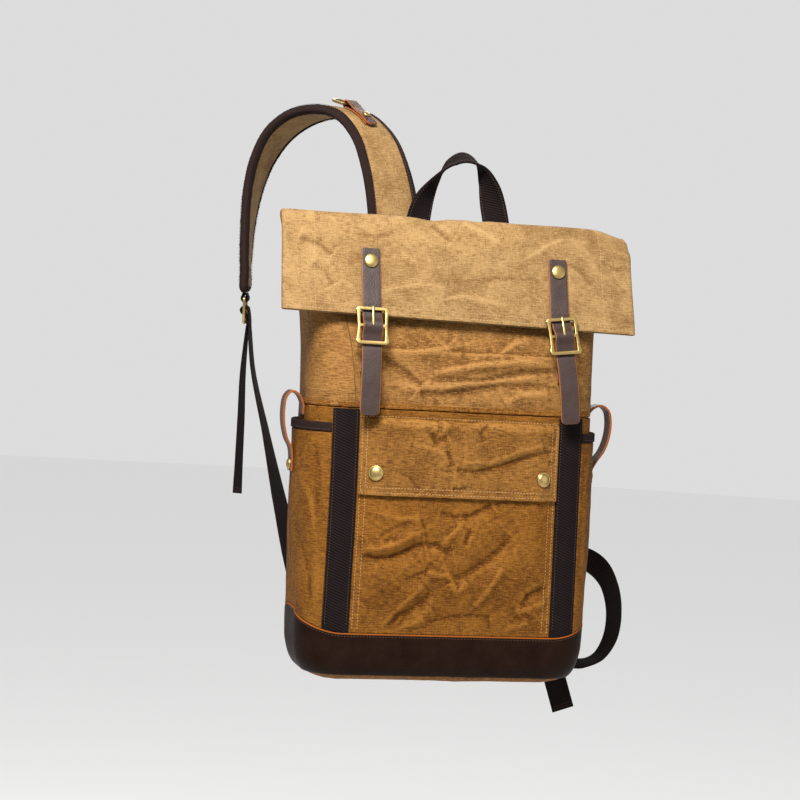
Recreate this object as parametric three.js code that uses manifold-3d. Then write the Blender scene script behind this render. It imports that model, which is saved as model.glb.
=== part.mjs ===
// Rolltop backpack in waxed canvas and leather, hung by its left shoulder strap.
// Millimetres, +Z up. The front of the bag faces -Y and its left strap arches over a shoulder.
// The model's origin is the point of that shoulder where the underside of the strap rests.
import * as THREE from 'three';
import { mergeVertices } from 'three/addons/utils/BufferGeometryUtils.js';
import Module from 'manifold-3d';

const wasm = await Module();
wasm.setup();

// Main body
const bodyWidth = 302;
const bodyDepth = 126;
const cornerRadius = 37;
const seamHeight = 279;
const foldHeight = 477;
const baseRise = 45;
const panelHeight = 20;
const clothWall = 1.6;
const clearance = 0.4;

// Rolled closure, which folds forward and hangs as a flap
const flapWidth = 371;
const flapShift = -2;
const flapDrop = 106;
const flapThickness = 7.4;
const frontFoldHeight = 3.5;
const hemSlope = 0.02;
const topSag = 9;

// Base band
const bandLowerEdge = 8;
const bandUpperEdge = 51;
const bandSideRise = 20;
const leatherWall = 1.8;

// Front pocket and its flap
const pocketTop = 262;
const pocketRight = 107;
const pocketLeft = 103.5;
const pocketBulge = 8.6;
const pocketFlapTop = 273;
const pocketFlapHem = 192;
const flapLift = 0.7;
const snapHeight = 214.5;
const snapSpacing = 175;
const snapShift = 1.5;
const snapDiameter = 15.5;

// Side pockets, their bound mouths and the leather loops that close them
const sidePocketTop = 253;
const sidePocketBulge = 6.6;
const bindingHeight = 10;
const bindingWall = 3;
const loopWidth = 20;
const loopLeather = 2.2;
const loopRoot = 268;
const loopSnapHeight = 216;
const loopRise = 23;
const loopReach = { left: 20, right: 27 };

// Front webbing strips
const stripWall = 1.8;
const stripWidth = 27;

// Closure straps and their centre-bar buckles
const closureWidth = 20;
const closureLeather = 2.2;
const closureTop = 441;
const closureTip = 273;
const closureX = { left: -96.5, right: 102 };
const closureLean = { left: -1, right: 12 };
const rivetHeight = 428;
const rivetDiameter = 15;
const buckleWidth = 34;
const buckleLength = 39;
const buckleWire = 3.4;
const buckleHeight = 362.5;
const prongWidth = 3;
const anchorLower = 316;

// Carrying handle
const webbingWall = 2;
const handleWebbing = 28;
const handleSpan = 90;
const handleHeight = 128;
const handleRoot = 419;
const handleSewn = 14;
const handleWall = 2.8;
const handleX = 16;

// Shoulder straps
const strapWidth = 60;
const strapPad = 11;
const strapEdge = 4;
const strapBinding = 8;
const bindingCut = 1.5;
const strapRootX = 45;
const strapRootY = 73;
const strapRootZ = 424;
const strapSewn = 46;
const archReach = 131;
const archDepth = 190;
const archHeight = 172;
const hangReach = 68;
const hangDepth = 34;
const hangDrop = 260;

// Ring tab on the left shoulder strap
const tabWidth = 15;
const tabLength = 40;
const tabPlace = 0.465;
const ringWidth = 32;
const ringLength = 22;
const ringWire = 3;

// Strap adjusters and the lower webbing
const lowerWebbing = 25;
const adjusterWidth = 34;
const adjusterLength = 31;
const adjusterWall = 3;
const adjusterBar = 3.6;

const sides = ['left', 'right'];
const toward = { left: -1, right: 1 };

const canvasMaterial = new THREE.MeshStandardMaterial({ color: 0x9a6a2c, roughness: 0.82, metalness: 0 });
const flapMaterial = new THREE.MeshStandardMaterial({ color: 0xb58a4c, roughness: 0.85, metalness: 0 });
const leatherMaterial = new THREE.MeshStandardMaterial({ color: 0x3a2620, roughness: 0.45, metalness: 0 });
const loopMaterial = new THREE.MeshStandardMaterial({ color: 0x6b3218, roughness: 0.5, metalness: 0 });
const webbingMaterial = new THREE.MeshStandardMaterial({ color: 0x2a2224, roughness: 0.9, metalness: 0 });
const bindingMaterial = new THREE.MeshStandardMaterial({ color: 0x35282a, roughness: 0.85, metalness: 0 });
const brassMaterial = new THREE.MeshStandardMaterial({ color: 0xa58b52, roughness: 0.3, metalness: 1 });

const point = (x, y, z) => new THREE.Vector3(x, y, z);
const mix = THREE.MathUtils.lerp;
const radians = THREE.MathUtils.degToRad;
const ease = (value, from, to) => THREE.MathUtils.smoothstep(value, Math.min(from, to), Math.max(from, to));
const steps = (count) => Array.from({ length: count + 1 }, (_, i) => i / count);

const model = new THREE.Group();
const bag = new THREE.Group();
model.add(bag);

function addMesh(name, geometry, material, parent = bag) {
  const mesh = new THREE.Mesh(geometry, material);
  mesh.name = name;
  parent.add(mesh);
  return mesh;
}

// Geometry from points and triangles, turned outwards if its volume comes out negative
function solid(points, triangles) {
  let volume = 0;
  for (const [a, b, c] of triangles) {
    volume += points[a].dot(point(0, 0, 0).crossVectors(points[b], points[c]));
  }
  const outward = volume < 0 ? triangles.map(([a, b, c]) => [a, c, b]) : triangles;
  const geometry = new THREE.BufferGeometry();
  geometry.setAttribute('position', new THREE.Float32BufferAttribute(points.flatMap((p) => p.toArray()), 3));
  geometry.setIndex(outward.flat());
  geometry.computeVertexNormals();
  return geometry;
}

// Solid through a row of closed rings, capped at both ends or joined end to end
function loft(rings, endless = false) {
  const count = rings[0].length;
  const points = rings.flat();
  const triangles = [];
  const bands = endless ? rings.length : rings.length - 1;
  for (let band = 0; band < bands; band++) {
    const near = band * count;
    const far = ((band + 1) % rings.length) * count;
    for (let i = 0; i < count; i++) {
      const next = (i + 1) % count;
      triangles.push([near + i, near + next, far + next], [near + i, far + next, far + i]);
    }
  }
  if (!endless) {
    for (const [ring, flipped] of [[0, true], [rings.length - 1, false]]) {
      const centre = rings[ring].reduce((sum, p) => sum.add(p), point(0, 0, 0)).divideScalar(count);
      const hub = points.push(centre) - 1;
      for (let i = 0; i < count; i++) {
        const a = ring * count + i;
        const b = ring * count + ((i + 1) % count);
        triangles.push(flipped ? [hub, b, a] : [hub, a, b]);
      }
    }
  }
  return solid(points, triangles);
}

// Sheet with a wall: at(column, row, side) gives a point, where side 0 is inside and 1 outside
function sheet(columns, rows, at) {
  const across = columns.length;
  const up = rows.length;
  const points = [];
  for (const side of [0, 1]) {
    for (const row of rows) {
      for (const column of columns) points.push(at(column, row, side));
    }
  }
  const id = (i, j, side) => side * across * up + j * across + i;
  const triangles = [];
  const quad = (a, b, c, d) => triangles.push([a, b, c], [a, c, d]);
  for (let j = 0; j + 1 < up; j++) {
    for (let i = 0; i + 1 < across; i++) {
      quad(id(i, j, 1), id(i + 1, j, 1), id(i + 1, j + 1, 1), id(i, j + 1, 1));
      quad(id(i, j, 0), id(i, j + 1, 0), id(i + 1, j + 1, 0), id(i + 1, j, 0));
    }
    quad(id(0, j, 0), id(0, j, 1), id(0, j + 1, 1), id(0, j + 1, 0));
    quad(id(across - 1, j, 1), id(across - 1, j, 0), id(across - 1, j + 1, 0), id(across - 1, j + 1, 1));
  }
  for (let i = 0; i + 1 < across; i++) {
    quad(id(i, 0, 0), id(i + 1, 0, 0), id(i + 1, 0, 1), id(i, 0, 1));
    quad(id(i, up - 1, 1), id(i + 1, up - 1, 1), id(i + 1, up - 1, 0), id(i, up - 1, 0));
  }
  return solid(points, triangles);
}

// Stations along a strap: points on a smooth line through its rows, each with its own frame.
// Each row is [place, direction across the strap]. The plan is a count of even steps, or a list of
// how many steps are taken between each row and the next.
function stations(rows, plan) {
  const line = new THREE.CatmullRomCurve3(rows.map((row) => row[0]), false, 'centripetal');
  const widths = new THREE.CatmullRomCurve3(rows.map((row) => row[1]), false, 'centripetal');
  line.arcLengthDivisions = 400;
  const spans = rows.length - 1;
  const shares = typeof plan === 'number'
    ? steps(plan).map((share) => line.getUtoTmapping(share))
    : [0, ...plan.flatMap((count, span) => steps(count).slice(1).map((share) => (span + share) / spans))];
  return shares.map((share) => {
    const place = line.getPoint(share);
    const along = line.getTangent(share);
    const across = widths.getPoint(share);
    across.addScaledVector(along, -across.dot(along)).normalize();
    return { place, along, across, normal: point(0, 0, 0).crossVectors(across, along) };
  });
}

// Point at an offset from a station: across its width and out of its face
const offsetFrom = (station, across, out) =>
  station.place.clone().addScaledVector(station.across, across).addScaledVector(station.normal, out);

// Strap of constant section through its stations
function strap(line, section) {
  return loft(line.map((station) => section.map(([across, out]) => offsetFrom(station, across, out))));
}

const flatSection = (width, thickness) => [
  [-width / 2, -thickness / 2],
  [width / 2, -thickness / 2],
  [width / 2, thickness / 2],
  [-width / 2, thickness / 2],
];

// Button-like cap with a low dome, standing on z = 0
function cap(diameter, height, facets = 12) {
  const radius = diameter / 2;
  const profile = [
    [0, 0], [1, 0], [1, 0.35], [0.82, 0.7], [0.42, 0.95], [0, 1],
  ].map(([out, up]) => new THREE.Vector2(out * radius, up * height));
  const geometry = new THREE.LatheGeometry(profile, facets);
  geometry.rotateX(Math.PI / 2);
  return bare(geometry);
}

// Same geometry with only merged positions left
function bare(geometry) {
  geometry.deleteAttribute('normal');
  geometry.deleteAttribute('uv');
  const merged = mergeVertices(geometry, 1e-4);
  merged.computeVertexNormals();
  return merged;
}

function toManifold(geometry) {
  const merged = bare(geometry.clone());
  const shape = new wasm.Manifold(new wasm.Mesh({
    numProp: 3,
    vertProperties: new Float32Array(merged.attributes.position.array),
    triVerts: new Uint32Array(merged.index.array),
  }));
  return shape;
}

function fromManifold(shape) {
  const mesh = shape.getMesh();
  const geometry = new THREE.BufferGeometry();
  geometry.setAttribute('position', new THREE.Float32BufferAttribute(mesh.vertProperties, 3));
  geometry.setIndex(Array.from(mesh.triVerts));
  geometry.computeVertexNormals();
  return geometry;
}

// Rows of a table at any share along it, smoothly joined
function readTable(table, key, share) {
  const last = table.length - 1;
  let i = 0;
  while (i < last - 1 && share > table[i + 1][key]) i++;
  const t = THREE.MathUtils.clamp((share - table[i][key]) / (table[i + 1][key] - table[i][key]), 0, 1);
  const before = table[Math.max(i - 1, 0)];
  const after = table[Math.min(i + 2, last)];
  const result = {};
  for (const column of Object.keys(table[0])) {
    const low = table[i][column];
    const high = table[i + 1][column];
    const span = table[i + 1][key] - table[i][key];
    const slopeLow = i > 0 ? ((high - before[column]) / (table[i + 1][key] - before[key])) * span : high - low;
    const slopeHigh = i + 2 <= last ? ((after[column] - low) / (after[key] - table[i][key])) * span : high - low;
    result[column] = (2 * t ** 3 - 3 * t ** 2 + 1) * low + (t ** 3 - 2 * t ** 2 + t) * slopeLow
      + (3 * t ** 2 - 2 * t ** 3) * high + (t ** 3 - t ** 2) * slopeHigh;
  }
  result[key] = share;
  return result;
}

// Lower body sections. up is a share of the seam height, wide and deep of half the width and depth,
// round of the corner radius, back of the depth.
const bodyTable = [
  { up: 0, wide: 0.83, deep: 0.62, round: 0.7, back: 0.01 },
  { up: 0.012, wide: 0.885, deep: 0.76, round: 0.8, back: 0.01 },
  { up: 0.03, wide: 0.93, deep: 0.865, round: 0.9, back: 0.005 },
  { up: 0.055, wide: 0.962, deep: 0.925, round: 0.96, back: 0 },
  { up: 0.1, wide: 0.988, deep: 0.972, round: 1, back: 0 },
  { up: 0.17, wide: 1, deep: 0.995, round: 1, back: 0 },
  { up: 0.3, wide: 1, deep: 1, round: 1, back: 0 },
  { up: 0.6, wide: 0.995, deep: 0.995, round: 1, back: 0 },
  { up: 0.85, wide: 0.995, deep: 0.97, round: 1, back: 0.006 },
  { up: 1, wide: 0.998, deep: 0.94, round: 1, back: 0.01 },
];

// Stretches of the outline: 0 is the front middle, 1 and 2 end the front right corner, 4 and 5 the
// back right corner, 7 and 8 the back left one, 10 and 11 the front left one, and 12 is 0 again.
function outline(section, place, out) {
  const across = section.halfWidth + out;
  const depth = section.halfDepth + out;
  const round = section.radius + out;
  const q = ((place % 12) + 12) % 12;
  const corner = (centreX, centreY, from, share) => {
    const angle = radians(from + 90 * share);
    return [centreX + round * Math.cos(angle), centreY + round * Math.sin(angle)];
  };
  const flatX = across - round;
  const flatY = depth - round;
  if (q <= 1) return [flatX * q, -depth];
  if (q <= 2) return corner(flatX, -flatY, -90, q - 1);
  if (q <= 4) return [across, flatY * (q - 3)];
  if (q <= 5) return corner(flatX, flatY, 0, q - 4);
  if (q <= 7) return [flatX * (6 - q), depth];
  if (q <= 8) return corner(-flatX, flatY, 90, q - 7);
  if (q <= 10) return [-across, flatY * (9 - q)];
  if (q <= 11) return corner(-flatX, -flatY, 180, q - 10);
  return [flatX * (q - 12), -depth];
}

// Soft dents and folds of the front, in the body's own front plane: at and height are shares of half the
// body width and of the fold height, long and thin are shares of the body width, turn is in degrees
const frontFolds = [
  { at: -0.3, height: 0.745, long: 0.2, thin: 0.035, turn: -32, rise: 1 },
  { at: 0.02, height: 0.705, long: 0.24, thin: 0.04, turn: 14, rise: 0.9 },
  { at: 0.3, height: 0.735, long: 0.16, thin: 0.04, turn: 38, rise: -0.8 },
  { at: -0.05, height: 0.655, long: 0.26, thin: 0.04, turn: -6, rise: -0.7 },
  { at: 0.38, height: 0.67, long: 0.14, thin: 0.04, turn: -20, rise: 0.8 },
];
const pocketFolds = [
  { at: 0.06, height: 0.26, long: 0.2, thin: 0.05, turn: 38, rise: 0.55 },
  { at: 0.34, height: 0.3, long: 0.2, thin: 0.05, turn: 62, rise: -0.5 },
  { at: -0.3, height: 0.2, long: 0.2, thin: 0.05, turn: -20, rise: 0.45 },
  { at: 0.3, height: 0.17, long: 0.16, thin: 0.05, turn: -35, rise: 0.5 },
  { at: 0.3, height: 0.51, long: 0.22, thin: 0.06, turn: 30, rise: 0.45 },
  { at: -0.28, height: 0.49, long: 0.2, thin: 0.06, turn: -25, rise: -0.4 },
];

function foldRelief(folds, x, z) {
  let relief = 0;
  for (const fold of folds) {
    const turn = radians(fold.turn);
    const dx = x - (fold.at * bodyWidth) / 2;
    const dz = z - fold.height * foldHeight;
    const along = (dx * Math.cos(turn) + dz * Math.sin(turn)) / (fold.long * bodyWidth);
    const over = (dz * Math.cos(turn) - dx * Math.sin(turn)) / (fold.thin * bodyWidth);
    relief += frontFoldHeight * fold.rise * Math.exp(-along * along * 2 - over * over);
  }
  return relief;
}

function bodySection(z) {
  const row = readTable(bodyTable, 'up', z / seamHeight);
  return {
    halfWidth: (row.wide * bodyWidth) / 2,
    halfDepth: (row.deep * bodyDepth) / 2,
    radius: row.round * cornerRadius,
    middle: row.back * bodyDepth,
  };
}

// Point on the lower body, out from its cloth
function onBody(place, z, out) {
  const section = bodySection(z);
  const [x, y] = outline(section, place, out);
  return point(x, y + section.middle, z);
}

// Columns of the body's rings. Sewn pieces add their own ends to those that they pass.
const mirrored = (half) => [...half, ...half.slice(1, -1).reverse().map((q) => 12 - q)];
const halfColumns = [0, 0.5, 1, 1.3, 1.65, 2, 3, 4, 4.5, 5, 6];
const fullColumns = mirrored(halfColumns);
const columnsBetween = (from, to) => [from, ...halfColumns.filter((q) => q > from && q < to), to];
const flatFront = bodyWidth / 2 - cornerRadius;
const cornerArc = (Math.PI / 2) * cornerRadius;
const frontPlace = (x) => (x <= flatFront ? x / flatFront : 1 + (x - flatFront) / cornerArc);
const baseLevels = [0, 0.08, 0.18, 0.32, 0.5, 0.75, 1].map((share) => share * baseRise);
const wallLevels = [0.12, 0.3, 0.5, 0.7, 0.85, 1].map((share) => mix(baseRise, seamHeight - clearance, share));
const panelLevels = [...baseLevels.filter((z) => z < panelHeight), panelHeight];
const bodyStart = panelHeight + clearance;
const bodyLevels = [bodyStart, ...baseLevels.filter((z) => z > bodyStart), ...wallLevels];
const bodyRing = (z, out, height = z) => fullColumns.map((q) => onBody(q, z, out).setZ(height));

// Base panel: the floor of the bag and the lowest part of its walls, sewn to the lower body under the band
function basePanel() {
  const outer = panelLevels.map((z) => bodyRing(z, 0));
  const inner = panelLevels.filter((z) => z > clothWall).reverse().map((z) => bodyRing(z, -clothWall));
  const floor = bodyRing(baseLevels[1], -2 * clothWall, 1.5 * clothWall);
  return loft([...outer, ...inner, floor]);
}
addMesh('base_panel', basePanel(), canvasMaterial);

// Lower body: the walls, open at the top where the rolltop tube is sewn on
function lowerBody() {
  const outer = bodyLevels.map((z) => bodyRing(z, 0));
  const inner = bodyLevels.map((z) => bodyRing(z, -clothWall));
  return loft([...outer, ...inner.reverse()], true);
}
addMesh('lower_body', lowerBody(), canvasMaterial);

// Rolltop tube. up and forward are shares of its rise above the seam and of the body depth, lean turns its
// thickness from front-to-back towards upside down, wide and deep are shares of half the flap width and
// half the body depth, round of the corner radius.
const tubeRise = foldHeight - flapThickness / 2 - seamHeight;
const tubeTable = [
  { up: 0, back: 0.01, lean: 0, wide: 0.81, deep: 0.935, round: 1 },
  { up: 0.11, back: 0.016, lean: 0, wide: 0.81, deep: 0.93, round: 0.95 },
  { up: 0.23, back: 0.026, lean: 0, wide: 0.812, deep: 0.91, round: 0.9 },
  { up: 0.36, back: 0.042, lean: 0, wide: 0.816, deep: 0.87, round: 0.82 },
  { up: 0.49, back: 0.062, lean: 0, wide: 0.826, deep: 0.8, round: 0.72 },
  { up: 0.62, back: 0.084, lean: 0, wide: 0.85, deep: 0.69, round: 0.58 },
  { up: 0.75, back: 0.098, lean: 2, wide: 0.888, deep: 0.53, round: 0.4 },
  { up: 0.86, back: 0.084, lean: 9, wide: 0.935, deep: 0.33, round: 0.24 },
  { up: 0.94, back: 0.052, lean: 24, wide: 0.972, deep: 0.165, round: 0.13 },
  { up: 0.985, back: 0.002, lean: 55, wide: 0.99, deep: 0.082, round: 0.085 },
  { up: 1, back: -0.06, lean: 95, wide: 0.995, deep: 0.062, round: 0.08 },
  { up: 0.98, back: -0.12, lean: 135, wide: 0.997, deep: 0.058, round: 0.08 },
  { up: 0.93, back: -0.166, lean: 156, wide: 0.998, deep: 0.058, round: 0.08 },
];
// The hanging flap, from the fold to its hem: down is a share of the flap's drop
const flapTable = [
  { down: 0.22, back: -0.206, lean: 163, wide: 1, deep: 0.058, round: 0.08 },
  { down: 0.38, back: -0.25, lean: 163, wide: 1, deep: 0.058, round: 0.08 },
  { down: 0.55, back: -0.297, lean: 163, wide: 1.002, deep: 0.058, round: 0.08 },
  { down: 0.72, back: -0.345, lean: 164, wide: 1.004, deep: 0.06, round: 0.08 },
  { down: 0.87, back: -0.384, lean: 167, wide: 1.006, deep: 0.064, round: 0.085 },
  { down: 1, back: -0.412, lean: 172, wide: 1.006, deep: 0.072, round: 0.09 },
];
const tubeRows = [
  ...tubeTable.map((row) => ({ ...row, z: seamHeight + row.up * tubeRise })),
  ...flapTable.map((row) => ({ ...row, z: foldHeight - row.down * flapDrop })),
];

// How far the rolled edge drops towards its right end and in its dips, in shares of half the flap width
const topDips = [
  { at: 1, width: 0.13, drop: 1 },
  { at: -0.14, width: 0.08, drop: 0.25 },
];
const dipAt = (x) => topDips.reduce((sum, dip) => {
  const away = (x / (flapWidth / 2) - dip.at) / dip.width;
  return sum + topSag * dip.drop * Math.exp(-away * away);
}, 0);

// How much lower a hanging row is than its table height, as the hem slopes down to the right
const hungAt = (row, x) => (row.lean > 90 ? ease(foldHeight - row.z, 0, flapDrop) * hemSlope * x : 0);

// Back wall of the upright part of the tube at a height
const backWall = (z) => {
  const above = tubeRows.findIndex((row) => row.z > z);
  const [low, high] = tubeRows.slice(above - 1, above + 1);
  const [lowY, highY] = [low, high].map((row) => (row.back + row.deep / 2) * bodyDepth);
  return mix(lowY, highY, (z - low.z) / (high.z - low.z));
};

// Point on one row of the tube, out from its cloth
function onTube(row, place, out) {
  const section = {
    halfWidth: (row.wide * flapWidth) / 2,
    halfDepth: (row.deep * bodyDepth) / 2,
    radius: row.round * cornerRadius,
  };
  const [x, y] = outline(section, place, out);
  const lean = radians(row.lean);
  const high = ease(row.z, foldHeight - flapDrop / 3, foldHeight);
  const front = row.lean < 1 && y < 0 ? foldRelief(frontFolds, x, row.z) * ease(row.z, seamHeight, seamHeight + 20) : 0;
  const clear = 1 - ease(Math.abs(x), bodyWidth * 0.2, bodyWidth * 0.26);
  const depth = y - front * clear;
  const shift = flapShift * ease(row.z, seamHeight, mix(seamHeight, foldHeight, 0.8));
  return point(x + shift, row.back * bodyDepth + depth * Math.cos(lean),
    row.z + depth * Math.sin(lean) - dipAt(x) * high - hungAt(row, x));
}

const tubeColumns = mirrored([0, 0.11, 0.22, 0.33, 0.44, 0.56, 0.75, 1, 1.35, 1.7, 2, 3, 4, 4.5, 5, 5.5, 6]);
function rollTop() {
  const outer = tubeRows.map((row) => tubeColumns.map((q) => onTube(row, q, 0)));
  const inner = tubeRows.map((row) => tubeColumns.map((q) => onTube(row, q, -clothWall)));
  return loft([...outer, ...inner.reverse()], true);
}
addMesh('roll_top', rollTop(), flapMaterial);

// Front face of the hanging flap at a height, and how steeply it hangs
function flapFace(x, z, out) {
  const rows = tubeRows.slice(tubeTable.length - 1).map((row) => ({ ...row, z: row.z - hungAt(row, x) }));
  let i = 0;
  while (i < rows.length - 2 && z < rows[i + 1].z) i++;
  const share = (z - rows[i].z) / (rows[i + 1].z - rows[i].z);
  const place = [rows[i], rows[i + 1]].map((row) => {
    const lean = radians(row.lean);
    const depth = (row.deep * bodyDepth) / 2 + out;
    return point(0, row.back * bodyDepth + depth * Math.cos(lean), row.z + depth * Math.sin(lean));
  });
  return place[0].lerp(place[1], share);
}

// Base band: a leather strip round the bottom, higher at the sides
const bandTop = (q) => {
  const away = Math.abs(((q + 6) % 12) - 6);
  return bandUpperEdge + bandSideRise * ease(away, 0.9, 2.4) * (1 - ease(away, 3.6, 5.1));
};
function baseBand() {
  const rows = [
    ...baseLevels.filter((z) => z >= bandLowerEdge && z < bandUpperEdge).map((z) => () => z),
    bandTop,
  ];
  const ring = (row, out) => fullColumns.map((q) => onBody(q, row(q), out));
  const outer = rows.map((row) => ring(row, clearance + leatherWall));
  const inner = rows.map((row) => ring(row, clearance));
  return loft([...outer, ...inner.reverse()], true);
}
addMesh('base_band', baseBand(), leatherMaterial);

// Sewn pieces stand on the body above the band: a share of 0 is just above the band's edge
const aboveBand = (q, top, share) => mix(bandTop(q) + clearance, top, share);

// Front webbing strips, next to the pocket
const pocketSide = { left: pocketLeft, right: pocketRight };
const stripEnds = (side) => [frontPlace(pocketSide[side] + clearance), frontPlace(pocketSide[side] + stripWidth)];
for (const side of sides) {
  const columns = columnsBetween(...stripEnds(side)).map((q) => q * toward[side]);
  const rows = [0, 0.1, 0.25, 0.5, 0.75, 1];
  addMesh(`webbing_strip_${side}`, sheet(columns, rows, (q, share, face) =>
    onBody(q, aboveBand(q, seamHeight - 1, share), clearance + face * stripWall)), webbingMaterial);
}

// Front pocket: sewn along its sides and bottom, standing out towards its open mouth. Its places across
// are shares from its left edge to its right edge.
const pocketColumns = [0, 0.05, 0.12, 0.21, 0.31, 0.41, 0.5, 0.59, 0.69, 0.79, 0.88, 0.95, 1];
const pocketPlace = (share) => mix(-pocketLeft, pocketRight, share) / flatFront;
const pocketOut = (across, share) => {
  const side = ease(Math.min(across, 1 - across), 0, 0.12);
  const height = ease(share, 0, 0.35) * (1 - 0.28 * ease(share, 0.6, 1));
  return clearance + pocketBulge * side * height;
};
function onPocket(across, z, out) {
  const share = THREE.MathUtils.clamp((z - bandUpperEdge) / (pocketTop - bandUpperEdge), 0, 1);
  const spot = onBody(pocketPlace(across), z, 0);
  const inside = ease(Math.min(across, 1 - across), 0, 0.16) * ease(share, 0, 0.2);
  spot.y -= pocketOut(across, share) + out;
  spot.y -= Math.max(foldRelief(pocketFolds, spot.x, z), -pocketBulge / 2) * inside;
  return spot;
}
addMesh('front_pocket', sheet(pocketColumns, steps(13), (across, share, face) =>
  onPocket(across, aboveBand(pocketPlace(across), pocketTop, share), face * clothWall)), canvasMaterial);

// Pocket flap: sewn to the body above the pocket's mouth and lying over it down to its hem
const flapRows = [1, 0.93, 0.86, 0.74, 0.6, 0.45, 0.3, 0.15, 0];
function onPocketFlap(across, share, out) {
  const z = mix(pocketFlapHem, pocketFlapTop, share);
  const sewn = onBody(pocketPlace(across), z, 0);
  sewn.y -= clearance + out;
  const lying = onPocket(across, Math.min(z, pocketTop), clothWall + flapLift + out);
  const close = ease(share, 0.86, 1);
  return point(sewn.x, mix(lying.y, sewn.y, close), z);
}
addMesh('pocket_flap', sheet(pocketColumns, flapRows, (across, share, face) =>
  onPocketFlap(across, share, face * clothWall)), canvasMaterial);

// Snap caps on the pocket flap
for (const side of sides) {
  const x = snapShift + (toward[side] * snapSpacing) / 2;
  const share = (snapHeight - pocketFlapHem) / (pocketFlapTop - pocketFlapHem);
  const around = [-1, 0, 1].map((step) => onPocketFlap((x + (step * snapDiameter) / 2 + pocketLeft) / (pocketLeft + pocketRight), share, clothWall));
  const slope = around[2].clone().sub(around[0]);
  const mesh = addMesh(`flap_snap_${side}`, cap(snapDiameter, 3.6), brassMaterial);
  mesh.position.set(x, around[1].y - clearance, snapHeight);
  mesh.rotation.set(Math.PI / 2, Math.atan2(slope.y, slope.x) / 2, 0, 'XYZ');
}

// Side pockets, from the strip round both corners, with a bound mouth
const sidePocketEnds = [frontPlace(Math.max(pocketLeft, pocketRight) + stripWidth + clearance), 4.7];
const sideColumns = [...new Set([...columnsBetween(...sidePocketEnds), 2.4, 3.6])].sort((a, b) => a - b);
const sideOut = (q, share) => {
  const nearest = Math.min(q - sidePocketEnds[0], sidePocketEnds[1] - q);
  return clearance + sidePocketBulge * ease(nearest, 0, 1.2) * ease(share, 0, 0.5);
};
for (const side of sides) {
  const sign = toward[side];
  const columns = [stripEnds(side)[1] + 0.01, ...sideColumns.slice(1)].map((q) => sign * q);
  addMesh(`side_pocket_${side}`, sheet(columns, steps(8), (q, share, face) =>
    onBody(q, aboveBand(q, sidePocketTop, share), sideOut(Math.abs(q), share) + face * clothWall)), canvasMaterial);
  addMesh(`pocket_binding_${side}`, sheet(columns, [0, 0.5, 1], (q, share, face) => {
    const middle = sideOut(Math.abs(q), 1) + clothWall / 2;
    const wall = clothWall + (bindingWall - clothWall) * ease(middle, clearance, clearance + sidePocketBulge / 2);
    const z = mix(sidePocketTop + clearance, sidePocketTop + bindingHeight, share);
    return onBody(q, z, middle + (face - 0.5) * wall);
  }), bindingMaterial);
}

// Leather loops over the mouths of the side pockets. out is a share of the reach beyond the pocket,
// up a share of the rise above the root or of the drop from it to the snap.
const loopTable = [
  { out: 0, up: 0 }, { out: 0.02, up: 0.45 }, { out: 0.28, up: 0.88 }, { out: 0.62, up: 1 }, { out: 0.9, up: 0.76 },
  { out: 1, up: 0.25 }, { out: 0.96, up: -0.2 }, { out: 0.78, up: -0.48 }, { out: 0.52, up: -0.68 },
];
const snapFlat = 7;
for (const side of sides) {
  const sign = toward[side];
  const wall = (z, out) => Math.abs(onBody(3, z, out).x);
  const start = wall(loopRoot, clearance + loopLeather / 2);
  const snapOut = wall(loopSnapHeight, sideOut(3, 0.85) + clothWall + 2 * clearance + loopLeather / 2);
  const reach = loopReach[side];
  const rows = loopTable.map((row) => {
    const z = loopRoot + (row.up > 0 ? loopRise * row.up : (loopRoot - loopSnapHeight) * row.up);
    return point(sign * (start + reach * row.out), 0, z);
  });
  for (const below of [-snapFlat, 0, snapFlat]) rows.push(point(sign * snapOut, 0, loopSnapHeight - below));
  const line = stations(rows.map((place) => [place, point(0, 1, 0)]), [2, 2, 2, 2, 2, 2, 2, 2, 2, 1, 1]);
  addMesh(`side_loop_${side}`, strap(line, flatSection(loopWidth, loopLeather)), loopMaterial);
  const snap = addMesh(`loop_snap_${side}`, cap(12, 3), brassMaterial);
  snap.position.set(sign * (snapOut + loopLeather / 2 + 1.5 * clearance), 0, loopSnapHeight);
  snap.rotation.set(0, (sign * Math.PI) / 2, 0);
}

// Buckles on the closure straps. In a buckle's own frame X is across, Y up the strap and Z out of it.
function buckleShape(width, length, wire, bars) {
  const frame = new THREE.Shape();
  const waist = width / 2 - wire * 0.25;
  frame.moveTo(-width / 2, -length / 2);
  frame.lineTo(width / 2, -length / 2);
  frame.quadraticCurveTo(waist, -length / 4, width / 2 - wire * 0.2, 0);
  frame.quadraticCurveTo(waist, length / 4, width / 2, length / 2);
  frame.lineTo(-width / 2, length / 2);
  frame.quadraticCurveTo(-waist, length / 4, -width / 2 + wire * 0.2, 0);
  frame.quadraticCurveTo(-waist, -length / 4, -width / 2, -length / 2);
  const inner = width / 2 - wire * 1.3;
  for (const [low, high] of bars) {
    const window = new THREE.Path();
    window.moveTo(-inner, low);
    window.lineTo(-inner, high);
    window.lineTo(inner, high);
    window.lineTo(inner, low);
    window.closePath();
    frame.holes.push(window);
  }
  return frame;
}

function plate(shape, thickness, curveSegments = 4) {
  const geometry = new THREE.ExtrudeGeometry(shape, { depth: thickness, bevelEnabled: false, curveSegments });
  geometry.translate(0, 0, -thickness / 2);
  return bare(geometry);
}

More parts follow.
